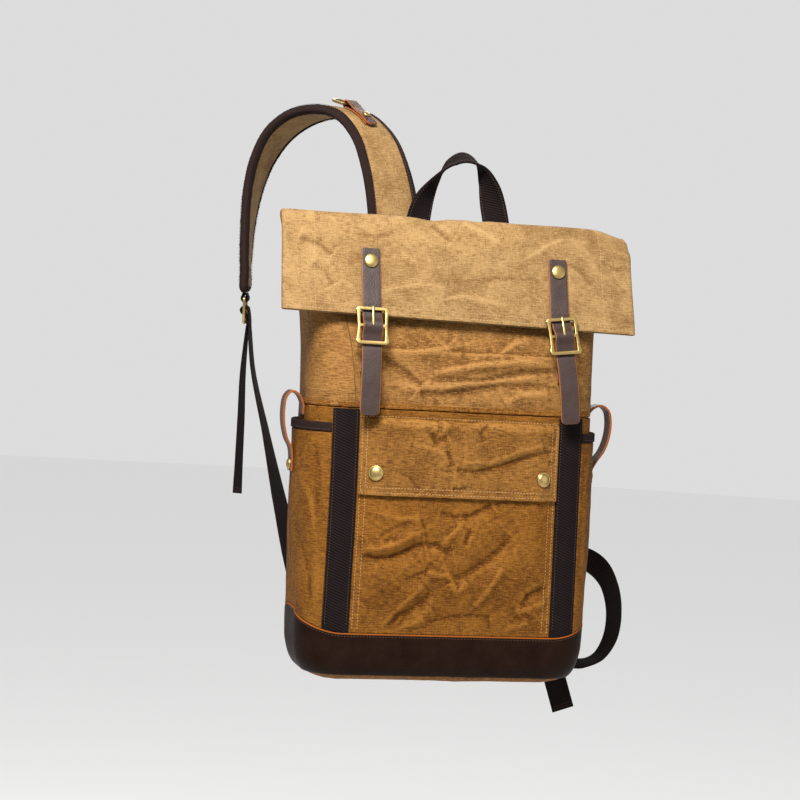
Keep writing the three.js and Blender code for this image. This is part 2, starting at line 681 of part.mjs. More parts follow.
const flapGap = 1.2;
const buckleLift = 1.3;
const bucklePlane = (x, z) => flapFace(x, z, 0).y - flapGap - buckleLift - closureLeather - buckleWire / 2 - clearance;
const barOut = buckleWire / 2 + clearance + closureLeather / 2;
for (const side of sides) {
  const xAt = (z) => closureX[side] + closureLean[side] * ease(closureTop - z, 40, closureTop - closureTip);
  const tilt = Math.atan2(xAt(buckleHeight + 10) - xAt(buckleHeight - 10), 20);
  const topY = bucklePlane(xAt(buckleHeight), buckleHeight + buckleLength / 2);
  const buckleForward = topY - bucklePlane(xAt(buckleHeight), buckleHeight - buckleLength / 2);
  const slope = Math.atan2(buckleForward, buckleLength);
  const frame = new THREE.Group();
  frame.position.set(xAt(buckleHeight), topY - buckleForward / 2, buckleHeight);
  frame.rotation.set(Math.PI / 2 - slope, 0, 0);
  frame.rotateZ(-tilt);
  bag.add(frame);
  frame.updateMatrix();
  const inFrame = (x, up, out) => point(x, up, out).applyMatrix4(frame.matrix);

  const bar = buckleLength / 2 - buckleWire;
  const half = buckleWire / 2;
  const windows = [[-bar, -half], [half, bar]];
  addMesh(`buckle_frame_${side}`, plate(buckleShape(buckleWidth, buckleLength, buckleWire, windows), buckleWire),
    brassMaterial, frame);

  // The strap hangs down the flap, passes under the top bar, over the centre bar and under the bottom bar
  const face = (z) => {
    const spot = flapFace(xAt(z), z, flapGap + closureLeather / 2);
    return point(xAt(z), spot.y, z);
  };
  const across = point(1, 0, 0).applyQuaternion(frame.quaternion);
  const over = buckleLength / 2;
  const lowY = inFrame(0, -over - 14, -barOut).y;
  const rows = [
    face(closureTop), face(rivetHeight), face(mix(rivetHeight, buckleHeight + over, 0.35)),
    face(mix(rivetHeight, buckleHeight + over, 0.7)),
    inFrame(0, over + 6, -barOut), inFrame(0, over - 2, -barOut), inFrame(0, over * 0.42, -0.2 * barOut),
    inFrame(0, over * 0.12, barOut), inFrame(0, -over * 0.12, barOut), inFrame(0, -over * 0.42, -0.2 * barOut),
    inFrame(0, -over + 2, -barOut), inFrame(0, -over - 5, -barOut),
    point(xAt(mix(buckleHeight, closureTip, 0.5)), lowY - 2.5, mix(buckleHeight - over, closureTip, 0.45)),
    point(xAt(closureTip), lowY - 5.5, closureTip),
  ].map((place) => [place, across]);
  const line = stations(rows, [2, 2, 2, 2, 1, 2, 3, 2, 3, 2, 2, 3, 8]);
  const whole = line.map((station, i) => {
    const fromTip = line.length - 1 - i;
    const taper = [0.5, 0.95][fromTip] ?? 1;
    return flatSection(closureWidth * taper, closureLeather).map(([w, out]) => offsetFrom(station, w, out));
  });

  // The prong's ring comes up through a slot in the strap
  const slot = new THREE.BoxGeometry(prongWidth + 1.4, over * 0.95, 12);
  slot.translate(0, over * 0.1, barOut);
  slot.applyMatrix4(frame.matrix);
  const slotted = toManifold(loft(whole)).subtract(toManifold(slot));
  addMesh(`closure_strap_${side}`, fromManifold(slotted), leatherMaterial);

  const hook = new THREE.Shape();
  const grip = half * Math.SQRT2 + clearance;
  const outer = grip + 1.7;
  hook.absarc(0, 0, outer, radians(-60), radians(200), false);
  hook.absarc(0, 0, grip, radians(200), radians(-60), true);
  hook.closePath();
  const pin = new THREE.Shape();
  const tip = buckleLength / 2 - 0.4;
  const rest = half + clearance;
  pin.moveTo(0, grip + 0.1);
  pin.lineTo(tip, rest);
  pin.lineTo(tip, rest + 1.2);
  pin.lineTo(tip * 0.5, outer + 0.6);
  pin.lineTo(0, outer);
  pin.closePath();
  const [hookSolid, pinSolid] = [hook, pin].map((shape) => {
    const geometry = plate(shape, prongWidth, 8);
    geometry.applyMatrix4(new THREE.Matrix4().makeBasis(point(0, 1, 0), point(0, 0, 1), point(1, 0, 0)));
    return toManifold(geometry);
  });
  addMesh(`buckle_prong_${side}`, fromManifold(hookSolid.add(pinSolid)), brassMaterial, frame);

  // Short anchor strap from behind the centre bar down to the body
  const wallY = (z) => {
    const share = (z - seamHeight) / tubeRise;
    const row = readTable(tubeTable.slice(0, 8), 'up', share);
    return row.back * bodyDepth - (row.deep * bodyDepth) / 2 - 4 * clearance - closureLeather / 2;
  };
  const under = barOut + closureLeather + 2 * clearance;
  const anchorRows = [
    inFrame(0, 7, -barOut - clearance), inFrame(0, 0, -barOut), inFrame(0, -over * 0.36, -barOut - 1),
    inFrame(0, -over * 0.9, -under), inFrame(0, -over - 6, -under - 1),
    point(xAt(anchorLower + 14), wallY(anchorLower + 14), anchorLower + 14),
    point(xAt(anchorLower), wallY(anchorLower), anchorLower),
  ].map((place) => [place, across]);
  const anchor = strap(stations(anchorRows, [1, 2, 2, 1, 2, 2]), flatSection(closureWidth - 3, closureLeather));
  const ringSlot = new THREE.BoxGeometry(prongWidth + 1.4, 10.4, 6);
  ringSlot.translate(0, 0, -barOut);
  ringSlot.applyMatrix4(frame.matrix);
  addMesh(`buckle_anchor_${side}`, fromManifold(toManifold(anchor).subtract(toManifold(ringSlot))), leatherMaterial);

  // Rivet through the head of the strap
  const rivet = addMesh(`strap_rivet_${side}`, cap(rivetDiameter, 3.2), brassMaterial);
  const head = line.reduce((best, s) =>
    (Math.abs(s.place.z - rivetHeight) < Math.abs(best.place.z - rivetHeight) ? s : best));
  const outward = head.normal.y < 0 ? head.normal.clone() : head.normal.clone().negate();
  rivet.position.copy(head.place).addScaledVector(outward, closureLeather / 2 + clearance);
  rivet.quaternion.setFromUnitVectors(point(0, 0, 1), outward);
}

// Carrying handle behind the rolled edge. x is a share of half the span, up of the height above the root,
// back of the body depth, turn is how far the webbing twists from lying flat, in degrees.
const handleTable = [
  { x: -1, up: 0.2, back: 0.4, turn: 3 },
  { x: -0.98, up: 0.4, back: 0.43, turn: 12 },
  { x: -0.86, up: 0.6, back: 0.45, turn: 28 },
  { x: -0.55, up: 0.8, back: 0.46, turn: 54 },
  { x: -0.2, up: 0.95, back: 0.47, turn: 78 },
  { x: 0.13, up: 1, back: 0.47, turn: 90 },
  { x: 0.45, up: 0.95, back: 0.47, turn: 102 },
  { x: 0.7, up: 0.8, back: 0.46, turn: 124 },
  { x: 0.86, up: 0.6, back: 0.45, turn: 152 },
  { x: 0.97, up: 0.4, back: 0.43, turn: 168 },
  { x: 1, up: 0.2, back: 0.4, turn: 177 },
];
const handleTilt = radians(24);
const handleSeat = (x, z) => point(handleX + (x * handleSpan) / 2, backWall(z) + 2 * clearance + handleWall / 2, z);
const handleRows = handleTable.map((row) => {
  const turn = radians(row.turn);
  const place = point(handleX + (row.x * handleSpan) / 2, row.back * bodyDepth, handleRoot + row.up * handleHeight);
  const across = point(Math.cos(turn), Math.sin(turn) * Math.cos(handleTilt), Math.sin(turn) * Math.sin(handleTilt));
  return [place, across];
});
for (const z of [handleRoot, handleRoot - handleSewn / 2, handleRoot - handleSewn]) {
  handleRows.unshift([handleSeat(-1, z), point(1, 0, 0)]);
  handleRows.push([handleSeat(1, z), point(-1, 0, 0)]);
}
addMesh('handle', strap(stations(handleRows, 34), flatSection(handleWebbing, handleWall)), webbingMaterial);

// Shoulder straps. out, back and up are shares of each strap's reach sideways, its depth and its height,
// turn is the direction across the strap in plan, in degrees from +X.
const leftStrapTable = [
  { out: 0, back: 0, up: 0, turn: 4 },
  { out: 0.01, back: 0.02, up: 0.18, turn: 8 },
  { out: 0.035, back: 0.06, up: 0.4, turn: 13 },
  { out: 0.085, back: 0.13, up: 0.62, turn: 18 },
  { out: 0.165, back: 0.235, up: 0.82, turn: 23 },
  { out: 0.3, back: 0.38, up: 0.96, turn: 28 },
  { out: 0.47, back: 0.54, up: 1, turn: 33 },
  { out: 0.66, back: 0.7, up: 0.965, turn: 40 },
  { out: 0.82, back: 0.825, up: 0.855, turn: 49 },
  { out: 0.93, back: 0.91, up: 0.68, turn: 59 },
  { out: 0.99, back: 0.965, up: 0.46, turn: 67 },
  { out: 1.01, back: 0.99, up: 0.24, turn: 73 },
  { out: 1.01, back: 1, up: 0.03, turn: 76 },
  { out: 1, back: 1.005, up: -0.15, turn: 76 },
];
const rightStrapTable = [
  { out: 0, back: 0, up: 0, turn: 0 },
  { out: 0.01, back: 0, up: 0.07, turn: 0 },
  { out: 0.03, back: 0.16, up: 0.125, turn: -2 },
  { out: 0.06, back: 0.5, up: 0.15, turn: -4 },
  { out: 0.1, back: 0.86, up: 0.125, turn: -6 },
  { out: 0.15, back: 1.05, up: 0.05, turn: -6 },
  { out: 0.26, back: 1.12, up: -0.12, turn: -5 },
  { out: 0.44, back: 1.12, up: -0.36, turn: -4 },
  { out: 0.64, back: 1.02, up: -0.6, turn: -2 },
  { out: 0.84, back: 0.9, up: -0.83, turn: 0 },
  { out: 1, back: 0.82, up: -1, turn: 0 },
];
const strapSteps = 28;
const strapSeat = (side) => [1, 0.62].map((share) => {
  const z = strapRootZ - share * strapSewn;
  const place = point(toward[side] * strapRootX, backWall(z) + 3 * clearance + strapPad / 2, z);
  return [place, point(1, 0, 0)];
});
const turned = (row) => point(Math.cos(radians(row.turn)), Math.sin(radians(row.turn)), 0);
const strapRows = {
  left: [...strapSeat('left'), ...leftStrapTable.map((row) => [
    point(-strapRootX - row.out * archReach, strapRootY + row.back * archDepth, strapRootZ + row.up * archHeight),
    turned(row),
  ])],
  right: [...strapSeat('right'), ...rightStrapTable.map((row) => [
    point(strapRootX + row.out * hangReach, strapRootY + row.back * hangDepth, strapRootZ + row.up * hangDrop),
    turned(row),
  ])],
};
const strapLines = {
  left: stations(strapRows.left, strapSteps),
  right: stations(strapRows.right, strapSteps),
};

const padHalf = strapWidth / 2 - strapBinding - clearance;
const padSection = [
  [-1, -0.36], [-0.6, -0.5], [0.6, -0.5], [1, -0.36], [1, 0.36], [0.6, 0.5], [-0.6, 0.5], [-1, 0.36],
].map(([across, out]) => [across * padHalf, out * strapPad]);
const trimmed = (line) => line.slice(0, -1);
for (const side of sides) {
  addMesh(`shoulder_pad_${side}`, strap(trimmed(strapLines[side]), padSection), flapMaterial);

  // Binding: a rail down one edge of the pad, round its end and up the other edge
  const line = strapLines[side];
  const last = line.length - 1;
  const rail = (station, from, to) => [
    offsetFrom(station, from, -strapPad * 0.4), offsetFrom(station, to, -strapEdge / 2),
    offsetFrom(station, to, strapEdge / 2), offsetFrom(station, from, strapPad * 0.4),
  ];
  const rim = strapWidth / 2;
  const rings = line.slice(0, last).map((station) => rail(station, -rim + strapBinding, -rim));
  const end = line[last];
  const at = (across, out, below) => offsetFrom(end, across, out).addScaledVector(end.along, below);
  const inner = rim - strapBinding;
  for (const share of [-1, 1]) {
    rings.push([
      at(share * inner, -strapPad * 0.4, clearance),
      at(share * (rim - 3), -strapEdge / 2, strapBinding - bindingCut),
      at(share * (rim - 3), strapEdge / 2, strapBinding - bindingCut),
      at(share * inner, strapPad * 0.4, clearance),
    ]);
  }
  for (let i = last - 1; i >= 0; i--) rings.push(rail(line[i], rim - strapBinding, rim));
  addMesh(`strap_binding_${side}`, loft(rings), bindingMaterial);
}

// Shoulder rest: the underside of the left strap at its highest point
const apex = strapLines.left.reduce((best, s) => (s.place.z > best.place.z ? s : best));
const shoulderRest = apex.place.clone().setZ(apex.place.z - strapPad / 2);
bag.position.copy(shoulderRest).negate();

// Leather tab folded round the straight bar of a D-ring, riveted to the left strap near its top
const fineSteps = 270;
const fineLine = stations(strapRows.left, fineSteps);
const fineStep = fineLine[0].place.distanceTo(fineLine[1].place);
const upwards = (station) => (station.normal.z > 0 ? 1 : -1);
const onStrap = (back, lift) => {
  const station = fineLine[Math.round(tabPlace * fineSteps - back / fineStep)];
  return { station, place: offsetFrom(station, 0, upwards(station) * (strapPad / 2 + lift)) };
};
const ringAt = onStrap(0, 0).station;
const ringFrame = new THREE.Group();
const upward = ringAt.normal.clone().multiplyScalar(upwards(ringAt));
const tabGap = 2 * clearance;
const tabBend = (ringWire / 2) * Math.SQRT2 + tabGap + leatherWall / 2;
ringFrame.position.copy(ringAt.place).addScaledVector(upward, strapPad / 2 + tabGap + leatherWall / 2 + tabBend);
const basis = new THREE.Matrix4().makeBasis(point(0, 0, 0).crossVectors(ringAt.along, upward), ringAt.along, upward);
ringFrame.quaternion.setFromRotationMatrix(basis);
bag.add(ringFrame);
ringFrame.updateMatrix();

function ringTab() {
  const layer = (back, lift) => {
    const { station, place } = onStrap(back, lift);
    return [place, station.across];
  };
  const bend = (degrees) => {
    const angle = radians(degrees);
    const place = point(0, tabBend * Math.sin(angle), -tabBend * Math.cos(angle)).applyMatrix4(ringFrame.matrix);
    return [place, ringAt.across];
  };
  const low = tabGap + leatherWall / 2;
  const high = low + leatherWall + tabGap;
  const rows = [
    layer(tabLength * 0.92, low), layer(tabLength * 0.6, low), layer(tabLength * 0.3, low),
    ...[0, 30, 60, 90, 120, 150, 180].map(bend),
    layer(tabLength * 0.3, high + 0.5), layer(tabLength * 0.6, high), layer(tabLength, high),
  ];
  return strap(stations(rows, [2, 2, 2, 1, 1, 1, 1, 1, 1, 2, 2, 2]), flatSection(tabWidth, leatherWall));
}
addMesh('ring_tab', ringTab(), loopMaterial);

function ringShape() {
  const shape = new THREE.Shape();
  const half = ringWidth / 2;
  const hole = new THREE.Path();
  shape.moveTo(-half, -ringWire / 2);
  shape.lineTo(half, -ringWire / 2);
  shape.lineTo(half, ringLength * 0.35);
  shape.bezierCurveTo(half, ringLength * 0.8, half * 0.6, ringLength, 0, ringLength);
  shape.bezierCurveTo(-half * 0.6, ringLength, -half, ringLength * 0.8, -half, ringLength * 0.35);
  shape.closePath();
  const inner = half - ringWire;
  const far = ringLength - ringWire;
  hole.moveTo(-inner, ringWire / 2);
  hole.lineTo(-inner, ringLength * 0.34);
  hole.bezierCurveTo(-inner, far * 0.8, -inner * 0.6, far, 0, far);
  hole.bezierCurveTo(inner * 0.6, far, inner, far * 0.8, inner, ringLength * 0.34);
  hole.lineTo(inner, ringWire / 2);
  hole.closePath();
  shape.holes.push(hole);
  return shape;
}
addMesh('d_ring', plate(ringShape(), ringWire, 6), brassMaterial, ringFrame);

const tabRivet = addMesh('tab_rivet', cap(9, 2.4), brassMaterial);
const rivetSpot = onStrap(tabLength * 0.62, 3 * tabGap + 2 * leatherWall);
tabRivet.position.copy(rivetSpot.place);
tabRivet.quaternion.setFromUnitVectors(point(0, 0, 1),
  rivetSpot.station.normal.clone().multiplyScalar(upwards(rivetSpot.station)));

// Strap adjusters and the webbing threaded through them
const adjusters = {};
const adjusterPitch = (adjusterLength - adjusterBar) / 2;
for (const side of sides) {
  const line = strapLines[side];
  const end = line[line.length - 1];
  const frame = new THREE.Group();
  const down = end.along.clone();
  const outFace = end.normal.clone();
  const drop = strapBinding + 3 + adjusterLength / 2;
  frame.position.copy(end.place).addScaledVector(down, drop);
  const up = down.clone().negate();
  frame.quaternion.setFromRotationMatrix(new THREE.Matrix4().makeBasis(
    point(0, 0, 0).crossVectors(up, outFace), up, outFace));
  bag.add(frame);
  frame.updateMatrix();
  const inFrame = (x, high, out) => point(x, high, out).applyMatrix4(frame.matrix);
  const half = adjusterBar / 2;
  const windows = [[-adjusterPitch + half, -half], [half, adjusterPitch - half]];
  addMesh(`adjuster_${side}`, plate(buckleShape(adjusterWidth, adjusterLength, adjusterBar * 0.8, windows),
    adjusterWall), brassMaterial, frame);

  // Folded webbing that ties the adjuster's top bar to the end of the strap
  const top = adjusterPitch;
  const wrap = adjusterWall / 2 + clearance + webbingWall / 2;
  const tieEnd = drop - strapBinding + bindingCut - clearance;
  const tieBend = half + clearance * 2 + webbingWall / 2;
  const tieOut = (webbingWall + clearance) / 2;
  const tieRows = [[tieEnd, -tieOut], [mix(top, tieEnd, 0.5), -wrap * 0.8]];
  for (const degrees of [0, 30, 60, 90, 120, 150, 180]) {
    const angle = radians(degrees);
    tieRows.push([top - tieBend * 1.15 * Math.sin(angle), -(wrap + clearance) * Math.cos(angle)]);
  }
  tieRows.push([mix(top, tieEnd, 0.5), wrap * 0.8], [tieEnd, tieOut]);
  addMesh(`adjuster_tie_${side}`, strap(stations(tieRows.map(([high, out]) => [inFrame(0, high, out), end.across]),
    [1, 2, 1, 1, 1, 1, 1, 1, 2, 1]), flatSection(lowerWebbing, webbingWall)), webbingMaterial);
  adjusters[side] = { inFrame, wrap, across: end.across };
}

// Lower webbing. Each line runs from the corner of the bag up to the adjuster, over its middle bar and down
// again as a free tail. Places away from the bag are chosen by hand: x, y and z, then the direction across.
const lowerRoutes = {
  left: {
    load: [
      [-128, 86, 84, 0.85, 0.25, 0.35],
      [-143, 125, 150, 0.65, 0.65, 0.1],
      [-157, 180, 235, 0.42, 0.88, -0.05],
      [-168, 228, 305, 0.28, 0.96, 0],
    ],
    tail: [
      [-174, 262, 300, 0.36, 0.92, 0],
      [-174, 258, 250, 0.42, 0.9, 0],
      [-174.5, 254, 205, 0.45, 0.89, 0.03],
      [-175, 250, 163, 0.5, 0.86, 0.05],
    ],
  },
  right: {
    load: [
      [146, 69.5, 18, 0.25, 0, 0.97],
      [168, 74, 10, 0.3, 0.75, 0.6],
      [190, 79, 4, 0.2, 0.95, 0.2],
      [211, 84, 10, -0.1, 0.97, 0.1],
      [225, 88, 30, -0.3, 0.95, 0.05],
      [229, 91, 60, -0.4, 0.92, 0],
      [222, 93, 90, -0.5, 0.75, -0.2],
      [207, 95, 110, -0.35, 0.3, -0.85],
      [186, 98, 119, -0.1, -0.1, -0.98],
      [163, 99, 117, 0.3, -0.05, -0.95],
      [141, 99, 113, 0.7, 0, -0.7],
    ],
    tail: [
      [133, 103.5, 100, 0.95, 0, 0.28],
      [146, 101, 55, 0.95, 0, 0.3],
      [159, 99, 8, 0.95, 0, 0.32],
      [170, 97, -26, 0.95, 0, 0.32],
      [178, 95, -51, 0.94, 0, 0.33],
    ],
  },
};
// The sewn start of each line lies on the base band: x and z of its rows
const sewnStart = { left: [[-98, 16], [-107, 30], [-115, 46]], right: [[92, 30], [107, 25], [122, 21]] };
const sewnOut = 2 * clearance + leatherWall + webbingWall / 2;
const sewnAcross = { left: point(0.88, 0, 0.47), right: point(0.3, 0, 0.95) };
const bendOut = Math.hypot(adjusterBar / 2, adjusterWall / 2) + 2 * clearance + webbingWall / 2;
for (const side of sides) {
  const { inFrame, wrap, across } = adjusters[side];
  const low = -adjusterPitch;
  const layer = webbingWall + 2 * clearance;
  const threaded = [
    [low - 8, -wrap - layer - clearance], [low, -wrap - layer], [low / 2, -wrap - layer * 0.8],
    ...[0, 30, 60, 90, 120, 150, 180, 210, 240, 270].map((degrees) => {
      const angle = radians(degrees);
      return [bendOut * Math.sin(angle), -bendOut * Math.cos(angle)];
    }),
    [low * 0.78, -wrap], [low, -wrap - clearance / 2], [low - 5, -wrap],
  ].map(([high, out]) => [inFrame(0, high, out), across]);
  const free = (rows) => rows.map(([x, y, z, ax, ay, az]) => [point(x, y, z), point(ax, ay, az).normalize()]);
  const start = sewnStart[side].map(([x, z]) => [
    point(x, onBody(6, z + lowerWebbing / 3, 0).y + sewnOut, z), sewnAcross[side].clone().normalize(),
  ]);
  const { load, tail } = lowerRoutes[side];
  const plan = [...start.map(() => 1), ...load.map(() => 3), 2, 2, 1, 1, 1, 1, 1, 1, 1, 1, 1, 1, 2, 1, 1, ...tail.map(() => 3)];
  const whole = stations([...start, ...free(load), ...threaded, ...free(tail)], plan);
  addMesh(`lower_webbing_${side}`, strap(whole, flatSection(lowerWebbing, webbingWall)), webbingMaterial);
}

export default model;
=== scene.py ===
import math
import bpy
import bmesh
import numpy as np
from mathutils import Matrix, Vector


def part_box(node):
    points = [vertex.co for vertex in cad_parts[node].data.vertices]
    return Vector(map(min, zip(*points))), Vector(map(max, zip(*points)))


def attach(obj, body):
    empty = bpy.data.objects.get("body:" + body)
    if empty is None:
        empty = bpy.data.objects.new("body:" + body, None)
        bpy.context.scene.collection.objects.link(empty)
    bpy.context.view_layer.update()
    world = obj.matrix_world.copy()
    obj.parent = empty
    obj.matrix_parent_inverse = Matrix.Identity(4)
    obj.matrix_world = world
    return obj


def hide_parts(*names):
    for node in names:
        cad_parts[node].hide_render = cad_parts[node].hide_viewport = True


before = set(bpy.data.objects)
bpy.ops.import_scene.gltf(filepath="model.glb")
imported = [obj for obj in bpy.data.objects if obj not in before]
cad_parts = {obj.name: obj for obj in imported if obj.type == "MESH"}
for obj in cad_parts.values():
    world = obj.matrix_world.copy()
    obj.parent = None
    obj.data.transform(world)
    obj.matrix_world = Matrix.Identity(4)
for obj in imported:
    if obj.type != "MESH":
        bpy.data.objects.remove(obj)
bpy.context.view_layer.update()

# Rolltop backpack in waxed canvas and leather, hung by its left shoulder strap.
# Shapes are worked out in millimetres in the bag's own frame: X right, Y back, Z up, with the middle of
# the bag's bottom at zero. They are put into the frame's metres as each mesh is made.

# Driving sizes
BODY_WIDTH = 302
BODY_DEPTH = 126
CORNER = 37
SEAM_HEIGHT = 279
FOLD_HEIGHT = 477
CLOTH = 1.6
GAP = 0.4
FLAP_WIDTH = 371
FLAP_SHIFT = -2
FLAP_DROP = 106
FLAP_THICK = 7.4
HEM_SLOPE = 0.02
TOP_SAG = 9
BAND_LOW = 8
BAND_HIGH = 51
BAND_RISE = 20
LEATHER = 1.8
POCKET_TOP = 262
POCKET_LEFT = 103.5
POCKET_RIGHT = 107
POCKET_BULGE = 8.6
POCKET_FLAP_TOP = 273
POCKET_FLAP_HEM = 192
FLAP_LIFT = 0.7
STRIP_WALL = 1.8
STRIP_WIDTH = 27
SIDE_TOP = 253
SIDE_BULGE = 6.6
BINDING_HEIGHT = 10
BINDING_WALL = 3

low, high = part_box("base_panel")
ORIGIN = np.array([(low.x + high.x) / 2, (low.y + high.y) / 2, low.z])
BAG = "bag"
RING = "left_ring"


def row(points):
    """Bag millimetres to the frame's metres."""
    return np.asarray(points, float) / 1000 + ORIGIN


# Camera at the photograph's angle
AZIMUTH, ELEVATION, ROLL = -13, 2, 3.2
EYE = np.array([-574.39, -2276.07, 368.4])
LENS, SENSOR = 101.07, 36
FRAME_PIXELS = 800


def camera_axes():
    a, e, r = (math.radians(v) for v in (AZIMUTH, ELEVATION, ROLL))
    back = np.array([math.sin(a) * math.cos(e), -math.cos(a) * math.cos(e), math.sin(e)])
    right = np.cross(-back, [0, 0, 1])
    right /= np.linalg.norm(right)
    up = np.cross(right, -back)
    return right * math.cos(r) + up * math.sin(r), up * math.cos(r) - right * math.sin(r), back


RIGHT, UP, BACK = camera_axes()


def seen_at(points):
    """Where bag points lie in the photograph's 800 by 800 frame."""
    away = points - EYE
    depth = -(away @ BACK)
    scale = LENS / SENSOR * FRAME_PIXELS
    return FRAME_PIXELS / 2 + scale * (away @ RIGHT) / depth, FRAME_PIXELS / 2 - scale * (away @ UP) / depth


def make_camera():
    camera = bpy.data.objects.new("camera", bpy.data.cameras.new("camera"))
    camera.data.lens = LENS
    camera.data.sensor_width = SENSOR
    camera.data.clip_end = 100
    bpy.context.scene.collection.objects.link(camera)
    place = row(EYE)
    axes = np.stack([RIGHT, UP, BACK], axis=1)
    matrix = [[*axes[i], place[i]] for i in range(3)] + [[0, 0, 0, 1]]
    camera.matrix_world = Matrix(matrix)
    bpy.context.scene.camera = camera


make_camera()


# Smooth helpers
def ease(value, start, end):
    share = np.clip((value - start) / (end - start), 0, 1)
    return share * share * (3 - 2 * share)


def mix(a, b, share):
    return a + (b - a) * share


def unit(vectors):
    return vectors / np.maximum(np.linalg.norm(vectors, axis=-1, keepdims=True), 1e-12)


LATTICE = np.random.default_rng(7).uniform(-1, 1, (64, 64, 2))


def noise(x, y, seed=0):
    """Smooth noise from about -1 to 1 with a period of one unit."""
    x = np.asarray(x, float) + 17.3 * seed
    y = np.asarray(y, float) - 11.7 * seed
    ix, iy = np.floor(x).astype(int), np.floor(y).astype(int)
    fx, fy = x - ix, y - iy
    total = 0
    ux, uy = fx * fx * fx * (fx * (6 * fx - 15) + 10), fy * fy * fy * (fy * (6 * fy - 15) + 10)
    for dx in (0, 1):
        for dy in (0, 1):
            slope = LATTICE[(ix + dx) % 64, (iy + dy) % 64]
            weight = (ux if dx else 1 - ux) * (uy if dy else 1 - uy)
            total = total + weight * (slope[..., 0] * (fx - dx) + slope[..., 1] * (fy - dy))
    return total * 1.6


def crumple(x, y, size, seed=0):
    """Crisp facets as stiff waxed cloth takes: folded waves in several directions, from about -1 to 1."""
    wander_x = x + 0.45 * size * noise(x / size / 1.3, y / size / 1.3, seed + 3)
    wander_y = y + 0.45 * size * noise(x / size / 1.3, y / size / 1.3, seed + 5)
    total = 0
    for turn, share in ((0.4, 1), (1.5, 0.9), (2.5, 0.8), (3.6, 0.5)):
        turn += seed * 0.7
        along = (wander_x * math.cos(turn) + wander_y * math.sin(turn)) / size * (0.8 + 0.5 * share)
        strength = 0.5 + noise(x / size / 2, y / size / 2, seed + turn)
        total = total + share * strength * np.sqrt(noise(along, along * 0 + turn * 5, seed) ** 2 + 0.012)
    return total - 0.6


# The bag's outline. A place runs from the front middle (0) by the right side (3) and the back middle (6)
# to the left side (9), with the rounded corners at 1 to 2, 4 to 5, 7 to 8 and 10 to 11.
def outline(half_width, half_depth, radius, place, out):
    across, depth, turn = half_width + out, half_depth + out, radius + out
    flat_x, flat_y = across - turn, depth - turn
    q = np.mod(place, 12)
    angle = np.radians(-90 + 90 * np.select(
        [q <= 1, q <= 2, q <= 4, q <= 5, q <= 7, q <= 8, q <= 10, q <= 11],
        [0 * q, q - 1, 1 + 0 * q, q - 3, 2 + 0 * q, q - 5, 3 + 0 * q, q - 7], 4 + 0 * q))
    centre_x = np.select([q <= 1, q <= 5, q <= 7, q <= 11],
                         [q * flat_x, flat_x + 0 * q, flat_x * (6 - q), -flat_x + 0 * q], flat_x * (q - 12))
    centre_y = np.select([q <= 2, q <= 4, q <= 8, q <= 10],
                         [-flat_y + 0 * q, flat_y * (q - 3), flat_y + 0 * q, flat_y * (9 - q)],
                         -flat_y + 0 * q)
    return centre_x + turn * np.cos(angle), centre_y + turn * np.sin(angle)


BODY_TABLE = np.array([
    # up, wide, deep, round, back
    (0, 0.83, 0.62, 0.7, 0.01),
    (0.012, 0.885, 0.76, 0.8, 0.01),
    (0.03, 0.93, 0.865, 0.9, 0.005),
    (0.055, 0.962, 0.925, 0.96, 0),
    (0.1, 0.988, 0.972, 1, 0),
    (0.17, 1, 0.995, 1, 0),
    (0.3, 1, 1, 1, 0),
    (0.6, 0.995, 0.995, 1, 0),
    (0.85, 0.995, 0.97, 1, 0.006),
    (1, 0.998, 0.94, 1, 0.01),
])


def smooth_table(table, key, spots):
    """Rows of a table read smoothly at other values of its key column."""
    x, y = table[:, key], table
    steps = np.gradient(y, x, axis=0)
    i = np.clip(np.searchsorted(x, spots, side="right") - 1, 0, len(x) - 2)
    span = (x[i + 1] - x[i])[..., None]
    t = np.clip((np.asarray(spots) - x[i]) / (x[i + 1] - x[i]), 0, 1)[..., None]
    return ((2 * t ** 3 - 3 * t ** 2 + 1) * y[i] + (t ** 3 - 2 * t ** 2 + t) * steps[i] * span
            + (3 * t ** 2 - 2 * t ** 3) * y[i + 1] + (t ** 3 - t ** 2) * steps[i + 1] * span)


def on_body(place, z, out=0.0):
    place, z, out = np.broadcast_arrays(*(np.asarray(values, float) for values in (place, z, out)))
    rows = smooth_table(BODY_TABLE, 0, np.clip(z / SEAM_HEIGHT, 0, 1))
    wide, deep, corner = rows[..., 1] * BODY_WIDTH / 2, rows[..., 2] * BODY_DEPTH / 2, rows[..., 3] * CORNER
    x, y = outline(wide, deep, corner, place, out)
    return np.stack([x, y + rows[..., 4] * BODY_DEPTH, z], axis=-1)


FLAT_FRONT = BODY_WIDTH / 2 - CORNER
CORNER_ARC = math.pi / 2 * CORNER
FLAT_SIDE = BODY_DEPTH - 2 * CORNER

